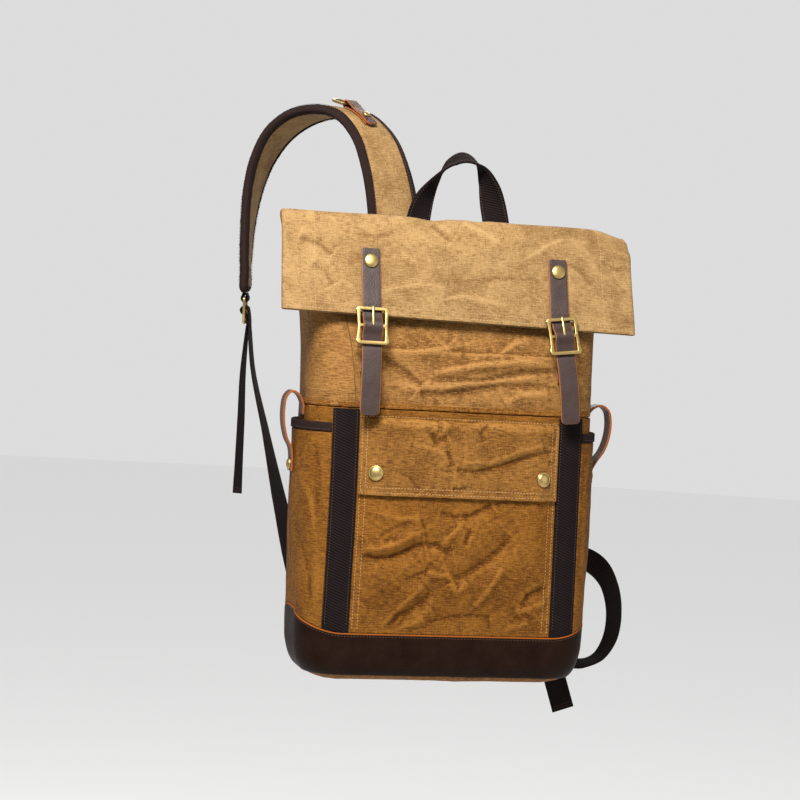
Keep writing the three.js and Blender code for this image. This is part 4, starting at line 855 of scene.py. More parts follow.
def wall_relief(a, b, place):
    """Folds of the upright wall: strong where it shows below the flap, gentle elsewhere."""
    front = np.clip(1 - np.abs(np.mod(a + FLAP_ROUND / 2, FLAP_ROUND) - FLAP_ROUND / 2) / 170, 0, 1)
    front = ease(front, 0, 0.1)
    sewn = ease(b, 0, 9)
    under = 1 - ease(b, 88, 104)
    general = folds(a, b, (0.75, 24, 6), (0.5, 40, 3), (0.14, 8, 8))
    hollow = np.where(b > 60, -0.6 * front, 0)
    return sewn * (general * mix(0.7, 1, front) + crease_relief("front", place) * front * under) * under \
        + (1 - under) * general * 0.6 + hollow * under


FLAP_HALF = 183


def flap_relief(a, b, place):
    """Folds of the hanging flap: full on the half that shows, slight on the half under it."""
    shown = ease(np.abs(np.mod(a, FLAP_ROUND) - FLAP_ROUND / 2), FLAP_HALF + 5, FLAP_HALF - 7)
    general = folds(a, b, (0.42, 30, 5), (0.5, 48, 4), (0.07, 9, 2))
    hem = ease(b, TUBE_END - 15, TUBE_END - 2)
    return shown * (general * 0.9 + 0.75 * crease_relief("roll", place) * (1 - hem * 0.6)
                    + hem * 0.5 * noise(a / 26, b / 90, 8)) + (1 - shown) * 0.2 * general


wall = Sheet(tube_base, wall_relief, lift=-CLOTH)
half = FLAP_ROUND / 2
# Columns round the cloth: close together over what shows in front, wider apart behind
WALL_FRONT = 172
WALL_TURN = 190
wall_columns = np.concatenate([np.arange(-WALL_FRONT, WALL_FRONT, 2.1),
                               np.linspace(WALL_FRONT, WALL_TURN, 10)[:-1],
                               np.linspace(WALL_TURN, FLAP_ROUND - WALL_TURN, 60)[:-1],
                               np.linspace(FLAP_ROUND - WALL_TURN, FLAP_ROUND - WALL_FRONT, 10)[:-1]])
wall_rows = np.concatenate([spots(0.6, 100, 1.9)[:-2], np.linspace(101, FOLD_RUN - 4, 36)])
wall_top = finish_piece(wall.build("upper_wall", wall_columns, wall_rows, ring=True), CANVAS_TOP,
                        replaces=("roll_top",))
flap = Sheet(tube_base, flap_relief, lift=-CLOTH)
UNDER_HALF = 180
FACE_HALF = 181
flap_columns = np.concatenate([np.linspace(-UNDER_HALF, UNDER_HALF, 70)[:-1],
                               np.linspace(UNDER_HALF, half - FACE_HALF, 7)[:-1],
                               np.linspace(half - FACE_HALF, half + FACE_HALF, 190)[:-1],
                               np.linspace(half + FACE_HALF, FLAP_ROUND - UNDER_HALF, 7)[:-1]])
flap_rows = np.concatenate([np.linspace(FOLD_RUN - 6, FOLD_RUN + 12, 14)[:-1],
                            spots(FOLD_RUN + 12, TUBE_END, 1.9)[1:]])
roll = finish_piece(flap.build("roll_flap", flap_columns, flap_rows, ring=True), LIGHT,
                    replaces=("roll_top",))


# Leather band round the base, higher at the sides
def band_top(a):
    """Top edge of the base band: higher round the sides."""
    q = ring_place(a)
    away = np.abs(np.mod(q + 6, 12) - 6)
    return BAND_HIGH + BAND_RISE * ease(away, 0.9, 2.4) * (1 - ease(away, 3.6, 5.1))


band = Sheet(body_base, lambda a, b, place: 0.35 * noise(a / 30, b / 18, 5) + 0.12 * noise(a / 7, b / 7, 2),
             lift=GAP, wall=LEATHER)
band_columns = np.linspace(-PERIMETER / 2, PERIMETER / 2, 265)[:-1]
band_rows = np.concatenate([[0, 0.012, 0.03], np.linspace(0.06, 0.94, 22), [0.97, 0.988, 1]])
band_piece = band.build("base_strap", band_columns, band_rows, ring=True, bare=2,
                        top=lambda a: (np.full(a.shape, float(BAND_LOW)), band_top(a)))
finish_piece(band_piece, LEATHER_DARK, replaces=("base_band",))
turn = np.linspace(-PERIMETER / 2, PERIMETER / 2, 500)
stitches("base_strap_stitches", [sheet_line(band, turn, band_top(turn) - 3.2)], THREAD_DARK)

# Webbing strips beside the pocket
SIDES = {"left": -1, "right": 1}
POCKET_SIDE = {"left": POCKET_LEFT, "right": POCKET_RIGHT}
strips = {}
for side, sign in SIDES.items():
    start, end = POCKET_SIDE[side] + GAP, POCKET_SIDE[side] + STRIP_WIDTH
    strip = Sheet(body_base, soft_relief(0.25, 30, 4), lift=GAP, wall=STRIP_WALL)
    strips[side] = strip
    columns = spots(start, end, 2.2) * sign
    columns = np.sort(columns)
    rows = spots(0, 1, 0.011, 0.004)
    piece = strip.build("front_webbing_" + side, columns, rows, 0.7,
                        lambda a: (band_top(a) + GAP, np.full(a.shape, SEAM_HEIGHT - 1.0)))
    finish_piece(piece, WEBBING, replaces=("webbing_strip_" + side,))
    heights = np.linspace(BAND_HIGH + 8, SEAM_HEIGHT - 3, 90)
    lines = [sheet_line(strip, np.full(90, sign * x), heights) for x in (start + 2.6, end - 2.6)]
    stitches("front_webbing_stitches_" + side, lines, THREAD_DARK, 2.0, 3.0, 0.28)


# Front pocket, standing out towards its open mouth
def pocket_share(a):
    return (a + POCKET_LEFT) / (POCKET_LEFT + POCKET_RIGHT)


def pocket_out(a, b):
    across, share = pocket_share(a), np.clip((b - BAND_HIGH) / (POCKET_TOP - BAND_HIGH), 0, 1)
    side = ease(np.minimum(across, 1 - across), 0, 0.12)
    return GAP + POCKET_BULGE * side * ease(share, 0, 0.35) * (1 - 0.28 * ease(share, 0.6, 1))


def pocket_inside(a, b):
    """How free the pocket's cloth is to fold: nothing at its sewn sides and bottom."""
    across, share = pocket_share(a), (b - BAND_HIGH) / (POCKET_TOP - BAND_HIGH)
    return ease(np.minimum(across, 1 - across), 0.005, 0.075) * ease(share, 0.0, 0.07)


def front_base(a, b):
    return on_body(a / FLAT_FRONT, b, 0)


def pocket_base(a, b):
    point = front_base(a, b)
    point[..., 1] -= pocket_out(a, b)
    return point


def pocket_relief(a, b, place):
    general = folds(a, b, (0.75, 27, 1), (0.6, 46, 1), (0.16, 9, 3))
    mouth = 1 - ease(b, POCKET_FLAP_HEM + 5, POCKET_TOP)
    return np.maximum(pocket_inside(a, b) * (general + 1.05 * crease_relief("pocket", place)) * mouth,
                      -pocket_out(a, b) + GAP)


pocket = Sheet(pocket_base, pocket_relief)
pocket_piece = pocket.build("pocket_front", spots(-POCKET_LEFT, POCKET_RIGHT, 1.55),
                            spots(BAND_HIGH + GAP, POCKET_TOP, 1.6))
finish_piece(pocket_piece, CANVAS, replaces=("front_pocket",))
heights = np.linspace(BAND_HIGH + 4, POCKET_FLAP_HEM + 20, 100)
lines = [sheet_line(pocket, np.full(100, x), heights) for x in (-POCKET_LEFT + 3, -POCKET_LEFT + 8.5,
                                                                 POCKET_RIGHT - 3, POCKET_RIGHT - 8.5)]
stitches("pocket_stitches", lines, THREAD_PALE)


# Pocket flap, sewn above the pocket's mouth and lying over it
def pocket_flap_base(a, b):
    point = front_base(a, b)
    sewn = point[..., 1] - GAP
    lying = front_base(a, np.minimum(b, POCKET_TOP))[..., 1] - pocket_out(a, np.minimum(b, POCKET_TOP))
    lying = lying - CLOTH - FLAP_LIFT
    close = ease((b - POCKET_FLAP_HEM) / (POCKET_FLAP_TOP - POCKET_FLAP_HEM), 0.86, 1)
    point[..., 1] = mix(lying, sewn, close)
    return point


def pocket_flap_relief(a, b, place):
    across = pocket_share(a)
    free = ease(np.minimum(across, 1 - across), -0.02, 0.06) \
        * (1 - ease(b, POCKET_FLAP_TOP - 12, POCKET_FLAP_TOP))
    general = folds(a, b, (0.7, 25, 7), (0.5, 40, 6), (0.12, 8, 5))
    under = pocket_inside(a, b) * (0.75 * crumple(a, b, 27, 1) + 0.6 * noise(a / 46, b / 46, 1))
    hem = 1 - ease(b, POCKET_FLAP_HEM, POCKET_FLAP_HEM + 9)
    top = ease(b, POCKET_FLAP_TOP - 7, POCKET_FLAP_TOP - 4) \
        * (1 - ease(b, POCKET_FLAP_TOP - 2, POCKET_FLAP_TOP))
    return 0.9 + free * (0.9 * general + 1.1 * crease_relief("flap", place)) \
        + np.maximum(under, 0) * (1 - hem) * 0.5 \
        + hem * 0.5 - 0.3 * top


pocket_flap = Sheet(pocket_flap_base, pocket_flap_relief)
flap_piece = pocket_flap.build("pocket_cover", spots(-POCKET_LEFT, POCKET_RIGHT, 1.5),
                               spots(POCKET_FLAP_HEM, POCKET_FLAP_TOP, 1.25))
finish_piece(flap_piece, CANVAS_COVER, replaces=("pocket_flap",))
left_edge, right_edge = -POCKET_LEFT, POCKET_RIGHT
lines = []
for inset in (3, 8):
    heights = np.linspace(POCKET_FLAP_TOP - 8, POCKET_FLAP_HEM + inset, 60)
    across = np.linspace(left_edge + inset, right_edge - inset, 130)
    lines.append(sheet_line(pocket_flap, np.full(60, left_edge + inset), heights))
    lines.append(sheet_line(pocket_flap, across, np.full(130, POCKET_FLAP_HEM + inset)))
    lines.append(sheet_line(pocket_flap, np.full(60, right_edge - inset), heights))
lines.append(sheet_line(pocket_flap, np.linspace(left_edge + 2, right_edge - 2, 130),
                        np.full(130, POCKET_FLAP_TOP - 3)))
stitches("pocket_cover_stitches", lines, THREAD_PALE)

# Seam between the body and the rolltop: a narrow folded strip of the body's cloth
seam = Sheet(lambda a, b: tube_base(a, b * 0 + np.clip(b, 0, 20)),
             lambda a, b, place: 0.15 * noise(a / 6, b / 6, 1), lift=0.2, wall=1.1)
seam_columns = np.linspace(0, FLAP_ROUND, 331)[:-1]
seam_piece = seam.build("top_seam", seam_columns, spots(0.4, 5.4, 1.0, 0.5), soft=0.9, ring=True)
finish_piece(seam_piece, CANVAS, replaces=("roll_top",))
lines = [sheet_line(seam, np.linspace(0, FLAP_ROUND, 600), np.full(600, 2.8))]
stitches("top_seam_stitches", lines, THREAD_BROWN)

# Side pockets with bound mouths
SIDE_START = max(POCKET_LEFT, POCKET_RIGHT) + STRIP_WIDTH + GAP
SIDE_END_PLACE = 4.7
SIDE_END = np.interp(SIDE_END_PLACE, RING_PLACES, RING_LENGTHS)


def side_out(a, share):
    q = ring_place(np.abs(a))
    q_start = ring_place(SIDE_START)
    nearest = np.minimum(q - q_start, SIDE_END_PLACE - q)
    return GAP + SIDE_BULGE * ease(nearest, 0, 1.2) * ease(share, 0, 0.5)


def side_base(a, b):
    share = np.clip((b - band_top(a)) / (SIDE_TOP - band_top(a)), 0, 1)
    return on_body(ring_place(a), b, side_out(a, share))


def side_relief(a, b, place):
    free = ease(np.abs(a), SIDE_START + 2, SIDE_START + 14) * ease(b, 60, 90) \
        * (1 - ease(b, SIDE_TOP - 16, SIDE_TOP))
    general = 0.9 * crumple(a, b, 28, 8) + 0.6 * noise(a / 44, b / 60, 7) + 0.14 * crumple(a, b, 9, 6)
    return free * (general + crease_relief("side", place) * (place[..., 1] < 0))


for side, sign in SIDES.items():
    start = max(POCKET_SIDE[side] + STRIP_WIDTH + 0.5, SIDE_START if side == "right" else 0)
    side_pocket = Sheet(side_base, side_relief)
    columns = np.sort(spots(start, SIDE_END, 2.1) * sign)
    rows = spots(0, 1, 0.0105, 0.003)
    piece = side_pocket.build("side_pocket_cloth_" + side, columns, rows, 0.7,
                              lambda a: (band_top(a) + GAP, np.full(a.shape, float(SIDE_TOP))))
    finish_piece(piece, CANVAS, replaces=("side_pocket_" + side,))

    binding = Sheet(lambda a, b: on_body(ring_place(a), b, side_out(a, 1.0 + 0 * b)),
                    lambda a, b, place: 0.15 * noise(a / 9, b / 9, 2), lift=(CLOTH - BINDING_WALL) / 2 + 0.35,
                    wall=BINDING_WALL)
    rows = spots(SIDE_TOP + GAP, SIDE_TOP + BINDING_HEIGHT, 1.1, 1.2)
    piece = binding.build("side_pocket_edge_" + side, columns, rows, 1.3)
    finish_piece(piece, BINDING, replaces=("pocket_binding_" + side,))
    run = np.linspace(start + 2, SIDE_END - 2, 150) * sign
    lines = [sheet_line(binding, run, np.full(150, SIDE_TOP + 2.6))]
    stitches("side_pocket_stitches_" + side, lines, THREAD_DARK, 2.2, 3.2, 0.3)


# Straps
def through(rows, step):
    """Ribbon on a smooth curve through rows of (place, direction across), in steps of about this length."""
    places = np.array([np.asarray(place, float) for place, _ in rows])
    widths = np.array([np.asarray(across, float) for _, across in rows])

    def curve(points, span, share):
        count = len(points)
        p1, p2 = points[span], points[span + 1]
        p0 = points[span - 1] if span > 0 else 2 * points[0] - points[1]
        p3 = points[span + 2] if span + 2 < count else 2 * points[-1] - points[-2]
        gaps = [max(np.linalg.norm(b - a), 1e-9) ** 0.5 for a, b in ((p0, p1), (p1, p2), (p2, p3))]
        if gaps[1] < 1e-3:
            gaps[1] = 1.0
        gaps[0] = gaps[1] if gaps[0] < 1e-3 else gaps[0]
        gaps[2] = gaps[1] if gaps[2] < 1e-3 else gaps[2]
        m1 = ((p1 - p0) / gaps[0] - (p2 - p0) / (gaps[0] + gaps[1]) + (p2 - p1) / gaps[1]) * gaps[1]
        m2 = ((p2 - p1) / gaps[1] - (p3 - p1) / (gaps[1] + gaps[2]) + (p3 - p2) / gaps[2]) * gaps[1]
        t = share[:, None]
        place = p1 + m1 * t + (-3 * p1 + 3 * p2 - 2 * m1 - m2) * t ** 2 + (2 * p1 - 2 * p2 + m1 + m2) * t ** 3
        along = m1 + 2 * (-3 * p1 + 3 * p2 - 2 * m1 - m2) * t + 3 * (2 * p1 - 2 * p2 + m1 + m2) * t ** 2
        return place, along

    found = [[], [], []]
    for span in range(len(places) - 1):
        length = np.linalg.norm(places[span + 1] - places[span])
        count = max(int(math.ceil(length / step)), 2)
        share = np.arange(count + (span == len(places) - 2)) / count
        place, along = curve(places, span, share)
        across, _ = curve(widths, span, share)
        for keep, values in zip(found, (place, along, across)):
            keep.append(values)
    place, along, across = (np.concatenate(values) for values in found)
    along = unit(along)
    across = unit(across - along * np.sum(across * along, axis=1, keepdims=True))
    return Ribbon(place, along, across)


class Ribbon:
    """A strap's middle line with its directions, read at any length along it."""

    def __init__(self, place, along, across):
        self.place, self.along, self.across = place, along, across
        self.normal = np.cross(across, along)
        self.run = np.concatenate([[0], np.cumsum(np.linalg.norm(np.diff(place, axis=0), axis=1))])
        self.length = self.run[-1]

    def read(self, run):
        run = np.asarray(run, float)
        held = np.clip(run, 0, self.length)
        values = [np.stack([np.interp(held, self.run, v[:, i]) for i in range(3)], axis=-1)
                  for v in (self.place, self.along, self.across, self.normal)]
        values[0] = values[0] + values[1] * (run - held)[..., None]
        return values

    def at(self, run, across, out):
        place, _, wide, normal = self.read(run)
        across, out = np.asarray(across, float)[..., None], np.asarray(out, float)[..., None]
        return place + wide * across + normal * out


EDGE_BAND = 0.55


def rounded_section(width, wall, soft):
    """Points round a flat strap's section with soft edges."""
    w, t = width / 2, wall / 2
    points = []
    for sx, sy, first in ((1, -1, -90), (1, 1, 0), (-1, 1, 90), (-1, -1, 180)):
        for turn in (0, 30, 60, 90):
            angle = math.radians(first + turn)
            points.append((sx * (w - soft) + soft * math.cos(angle),
                           sy * (t - soft) + soft * math.sin(angle)))
    return np.array(points)


def band_mesh(name, ribbon, section, raised=None, flats=0, widths=None):
    """Strap of one section. raised(run, across) lifts both faces, and widths(run) narrows it."""
    section = np.asarray(section, float)
    if flats:
        dense = []
        count = len(section)
        for i in range(count):
            dense.append(section[i])
            nxt = section[(i + 1) % count]
            if abs(nxt[0] - section[i][0]) > 2.5:
                for k in range(1, flats):
                    dense.append(mix(section[i], nxt, k / flats))
        section = np.array(dense)
    count = len(section)
    rings, uv = [], []
    for index, run in enumerate(ribbon.run):
        wide = widths(run) if widths is not None else 1.0
        across = section[:, 0] * wide
        out = section[:, 1]
        if raised is not None:
            out = out + raised(run + 0 * across, across)
        rings.append(ribbon.place[index] + ribbon.across[index] * across[:, None]
                     + ribbon.normal[index] * out[:, None])
        uv.append(np.stack([across + (out < 0) * 60, run + 0 * across], axis=1))
    vertices = np.concatenate(rings)
    limit = np.abs(section[:, 0]).max()
    reach = np.minimum(np.abs(section[:, 0]), np.abs(np.roll(section[:, 0], -1)))
    edge = np.concatenate([np.tile(reach > limit - EDGE_BAND, len(rings) - 1), [1, 1]])
    obj = new_mesh(name, vertices, loft_faces(len(rings), count), np.concatenate(uv), np.zeros(len(vertices)),
                   edge)
    check_outward(obj)
    bpy.ops.object.select_all(action="DESELECT")
    bpy.context.view_layer.objects.active = obj
    obj.select_set(True)
    bpy.ops.object.shade_smooth_by_angle(angle=math.radians(50))
    return obj


def ribbon_lines(ribbon, across, out, start, end):
    """Stitch lines on both faces of a strap, near both of its edges."""
    return [ribbon_line(ribbon, side * across, face * out, start, end)
            for side in (-1, 1) for face in (-1, 1)]


def ribbon_line(ribbon, across, out, start, end):
    """Points and normals of a stitch line along a strap."""
    run = np.arange(start, end, 0.8)
    face = 1 if out > 0 else -1
    return ribbon.at(run, np.full(run.shape, across), np.full(run.shape, out)), ribbon.read(run)[3] * face


def back_wall(z):
    """How far back the rear of the tube lies at a height."""
    rows = smooth_table(tube[:7], 1, np.asarray([z], float))[0]
    return (rows[2] + rows[5] / 2) * BODY_DEPTH


# Shoulder straps: padded light canvas with a dark binding round the edge
STRAP_WIDTH = 60
STRAP_PAD = 11
STRAP_BINDING = 8
BINDING_CUT = 1.5
STRAP_ROOT = (45, 73, 424)
STRAP_SEWN = 46
ARCH = (131, 190, 172)
HANG = (68, 34, 260)
LEFT_STRAP = [
    # out, back, up, turn
    (0, 0, 0, 4), (0.01, 0.02, 0.18, 8), (0.035, 0.06, 0.4, 13), (0.085, 0.13, 0.62, 18),
    (0.165, 0.235, 0.82, 23), (0.3, 0.38, 0.96, 28), (0.47, 0.54, 1, 33), (0.66, 0.7, 0.965, 40),
    (0.82, 0.825, 0.855, 49), (0.93, 0.91, 0.68, 59), (0.99, 0.965, 0.46, 67), (1.01, 0.99, 0.24, 73),
    (1.01, 1, 0.03, 76), (1, 1.005, -0.15, 76),
]
RIGHT_STRAP = [
    # out, back, up, turn
    (0, 0, 0, 0), (0.01, 0, 0.07, 0), (0.03, 0.16, 0.125, -2), (0.06, 0.5, 0.15, -4), (0.1, 0.86, 0.125, -6),
    (0.15, 1.05, 0.05, -6), (0.26, 1.12, -0.12, -5), (0.44, 1.12, -0.36, -4), (0.64, 1.02, -0.6, -2),
    (0.84, 0.9, -0.83, 0), (1, 0.82, -1, 0),
]


def strap_rows(side, table, size):
    sign = SIDES[side]
    rows = []
    for share in (1, 0.62):
        z = STRAP_ROOT[2] - share * STRAP_SEWN
        rows.append(((sign * STRAP_ROOT[0], back_wall(z) + 3 * GAP + STRAP_PAD / 2, z), (1, 0, 0)))
    for out, back, up, turn in table:
        place = (sign * (STRAP_ROOT[0] + out * size[0]), STRAP_ROOT[1] + back * size[1],
                 STRAP_ROOT[2] + up * size[2])
        rows.append((place, (math.cos(math.radians(turn)), math.sin(math.radians(turn)), 0)))
    return rows


straps = {
    "left": through(strap_rows("left", LEFT_STRAP, ARCH), 2.6),
    "right": through(strap_rows("right", RIGHT_STRAP, HANG), 3.0),
}
PAD_HALF = STRAP_WIDTH / 2 - STRAP_BINDING + BINDING_CUT


def pad_section():
    points = []
    for face in (-1, 1):
        for share in np.linspace(-1, 1, 25) * face * -1:
            thick = STRAP_PAD / 2 * (1 - 0.3 * abs(share) ** 4)
            points.append((share * PAD_HALF, face * thick))
    return np.array(points)


def pad_waves(seed):
    def raised(run, across):
        quilt = 0.5 * noise(run / 14, across / 40, seed) + 0.35 * noise(run / 5, across / 16, seed + 2)
        return quilt * (1 - (across / PAD_HALF) ** 6)
    return raised


for side, ribbon in straps.items():
    pad = band_mesh("strap_pad_" + side, ribbon, pad_section(), raised=pad_waves(4 if side == "left" else 9))
    finish_piece(pad, LIGHT, replaces=("shoulder_pad_" + side,))

    # Binding: down one edge, round the end and up the other edge
    rim, inner = STRAP_WIDTH / 2, STRAP_WIDTH / 2 - STRAP_BINDING
    end = ribbon.length
    turn = 7
    middle = (rim + inner) / 2
    foot = end + STRAP_BINDING / 2 - BINDING_CUT
    straight = ribbon.run[ribbon.run < foot - turn - 1]
    route = [(-middle, run, (-1, 0)) for run in straight]
    for first, centre in ((180, turn - middle), (270, middle - turn)):
        for angle in np.linspace(first, first + 90, 9):
            c, s = math.cos(math.radians(angle)), -math.sin(math.radians(angle))
            route.append((centre + turn * c, foot - turn + turn * s, (c, s)))
    route += [(middle, run, (1, 0)) for run in straight[::-1]]
    profile = [(-1, 0.42), (-0.9, 0.5), (-0.4, 0.49), (0.2, 0.42), (0.7, 0.3), (0.93, 0.2), (1, 0.07)]
    profile += [(across, -out) for across, out in reversed(profile)]
    rings, uv = [], []
    travelled = 0
    for index, (across, run, (da, dr)) in enumerate(route):
        if index:
            travelled += math.hypot(across - route[index - 1][0], run - route[index - 1][1])
        ring = []
        for share, thick in profile:
            high = thick * (STRAP_PAD + 0.9) * (0.86 + 0.14 * abs(noise(travelled / 9, share * 2, 6)))
            ring.append(ribbon.at(np.array(run + dr * share * STRAP_BINDING / 2),
                                  np.array(across + da * share * STRAP_BINDING / 2), np.array(high)))
        rings.append(np.array(ring))
        uv.append([(share * 6, travelled) for share, _ in profile])
    rail = new_mesh("strap_edge_" + side, np.concatenate(rings), loft_faces(len(rings), len(profile)),
                    np.concatenate(uv))
    check_outward(rail)
    finish_piece(rail, BINDING, replaces=("strap_binding_" + side,))
    lines = ribbon_lines(ribbon, inner + 1.4, STRAP_PAD * 0.49 + 0.5, 4, end - 6)
    stitches("strap_edge_stitches_" + side, lines, THREAD_DARK, 2.4, 3.6, 0.32)

# Carrying handle
HANDLE = {"width": 28, "wall": 2.8, "span": 90, "height": 128, "root": 419, "sewn": 14, "x": 16, "tilt": 24}
HANDLE_TABLE = [
    # x, up, back, turn
    (-1, 0.2, 0.4, 3), (-0.98, 0.4, 0.43, 12), (-0.86, 0.6, 0.45, 28), (-0.55, 0.8, 0.46, 54),
    (-0.2, 0.95, 0.47, 78), (0.13, 1, 0.47, 90), (0.45, 0.95, 0.47, 102), (0.7, 0.8, 0.46, 124),
    (0.86, 0.6, 0.45, 152), (0.97, 0.4, 0.43, 168), (1, 0.2, 0.4, 177),
]
handle_rows = []
tilt = math.radians(HANDLE["tilt"])
for x, up, back, turn in HANDLE_TABLE:
    angle = math.radians(turn)
    place = (HANDLE["x"] + x * HANDLE["span"] / 2, back * BODY_DEPTH, HANDLE["root"] + up * HANDLE["height"])
    handle_rows.append((place, (math.cos(angle), math.sin(angle) * math.cos(tilt),
                                math.sin(angle) * math.sin(tilt))))
for share in (0, 0.5, 1):
    z = HANDLE["root"] - share * HANDLE["sewn"]
    y = back_wall(z) + 2 * GAP + HANDLE["wall"] / 2
    handle_rows.insert(0, ((HANDLE["x"] - HANDLE["span"] / 2, y, z), (1, 0, 0)))
    handle_rows.append(((HANDLE["x"] + HANDLE["span"] / 2, y, z), (-1, 0, 0)))
handle_ribbon = through(handle_rows, 2.0)
handle = band_mesh("carrying_handle", handle_ribbon, rounded_section(HANDLE["width"], HANDLE["wall"], 1.1),
                   flats=10,
                   raised=lambda run, across: 0.18 * noise(run / 16, across / 9, 3))
finish_piece(handle, WEBBING, replaces=("handle",))
lines = ribbon_lines(handle_ribbon, 11.4, HANDLE["wall"] / 2 + 0.1, 20, handle_ribbon.length - 20)
stitches("handle_stitches", lines, THREAD_DARK, 2.2, 3.2, 0.3)

# Side loops with snaps
LOOP = {"width": 20, "wall": 2.2, "root": 268, "snap": 216, "rise": 23, "flat": 7}
LOOP_REACH = {"left": 20, "right": 27}
LOOP_TABLE = [(0, 0), (0.02, 0.45), (0.28, 0.88), (0.62, 1), (0.9, 0.76), (1, 0.25), (0.96, -0.2),
              (0.78, -0.48), (0.52, -0.68)]
side_middle = np.interp(3, RING_PLACES, RING_LENGTHS)
snap_places = []
for side, sign in SIDES.items():
    start = on_body(3.0, LOOP["root"], GAP + LOOP["wall"] / 2)[0]
    share = 0.85
    snap_lift = side_out(side_middle, share) + CLOTH + 2 * GAP + LOOP["wall"] / 2
    snap_out = on_body(3.0, LOOP["snap"], snap_lift)[0] + 0.4
    rows = []
    for out, up in LOOP_TABLE:
        z = LOOP["root"] + (LOOP["rise"] * up if up > 0 else (LOOP["root"] - LOOP["snap"]) * up)
        rows.append(((sign * (start + LOOP_REACH[side] * out), 0, z), (0, 1, 0)))
    for below in (-LOOP["flat"], 0, LOOP["flat"]):
        rows.append(((sign * snap_out, 0, LOOP["snap"] - below), (0, 1, 0)))
    ribbon = through(rows, 1.2)
    loop = band_mesh("side_loop_leather_" + side, ribbon,
                     rounded_section(LOOP["width"], LOOP["wall"], 0.45), flats=8,
                     raised=lambda run, across: 0.12 * noise(run / 11, across / 8, 5))
    finish_piece(loop, LEATHER_TAN, replaces=("side_loop_" + side,))
    lines = ribbon_lines(ribbon, 7.8, LOOP["wall"] / 2, 3, ribbon.length - 3)
    stitches("side_loop_stitches_" + side, lines, THREAD_BROWN, 2.2, 3.2, 0.28)
    snap_places.append((side, sign, snap_out))

# Closure straps with their buckles
CLOSURE = {"width": 20, "wall": 2.2, "top": 441, "tip": 273, "rivet": 428, "anchor": 316}
CLOSURE_X = {"left": -96.5, "right": 102}
CLOSURE_LEAN = {"left": -1, "right": 12}
BUCKLE = {"width": 34, "length": 39, "wire": 3.4, "height": 362.5, "gap": 1.2, "lift": 1.3}
PRONG_WIDTH = 3


def hung_at(z, x):
    return ease(FOLD_HEIGHT - z, 0, FLAP_DROP) * HEM_SLOPE * x


def flap_face(x, z, out):
    """Place in front of the hanging flap, as y and z."""
    rows = tube[len(TUBE_TABLE) - 1:]
    levels = [line[1] - (hung_at(line[1], x) if line[3] > 90 else 0) for line in rows]
    i = 0
    while i < len(rows) - 2 and z < levels[i + 1]:
        i += 1
    share = (z - levels[i]) / (levels[i + 1] - levels[i])
    found = []
    for line, level in ((rows[i], levels[i]), (rows[i + 1], levels[i + 1])):
        lean = math.radians(line[3])
        depth = line[5] * BODY_DEPTH / 2 + out
        found.append(np.array([line[2] * BODY_DEPTH + depth * math.cos(lean),
                               level + depth * math.sin(lean)]))
    return mix(found[0], found[1], share)


class Spot:
    """A turned place in the bag's frame: its columns are the piece's own X, Y and Z."""

    def __init__(self, origin, axes):
        self.origin, self.axes = np.asarray(origin, float), np.asarray(axes, float)

    def at(self, x, y, z):
        return self.origin + self.axes @ np.array([x, y, z], float)


def turn_x(angle):
    c, s = math.cos(angle), math.sin(angle)
    return np.array([[1, 0, 0], [0, c, -s], [0, s, c]])


def turn_z(angle):
    c, s = math.cos(angle), math.sin(angle)
    return np.array([[c, -s, 0], [s, c, 0], [0, 0, 1]])


def facing(place, out, along=(0, 0, 1)):
    """Spot whose Z looks out."""
    out = unit(np.asarray(out, float))
    x = unit(np.cross(np.asarray(along, float), out))
    return Spot(place, np.stack([x, np.cross(out, x), out], axis=1))


def closure_x(side, z):
    leaning = ease(CLOSURE["top"] - z, 40, CLOSURE["top"] - CLOSURE["tip"])
    return CLOSURE_X[side] + CLOSURE_LEAN[side] * float(leaning)


def buckle_plane(x, z):
    return flap_face(x, z, 0)[0] - BUCKLE["gap"] - BUCKLE["lift"] - CLOSURE["wall"] - BUCKLE["wire"] / 2 - GAP


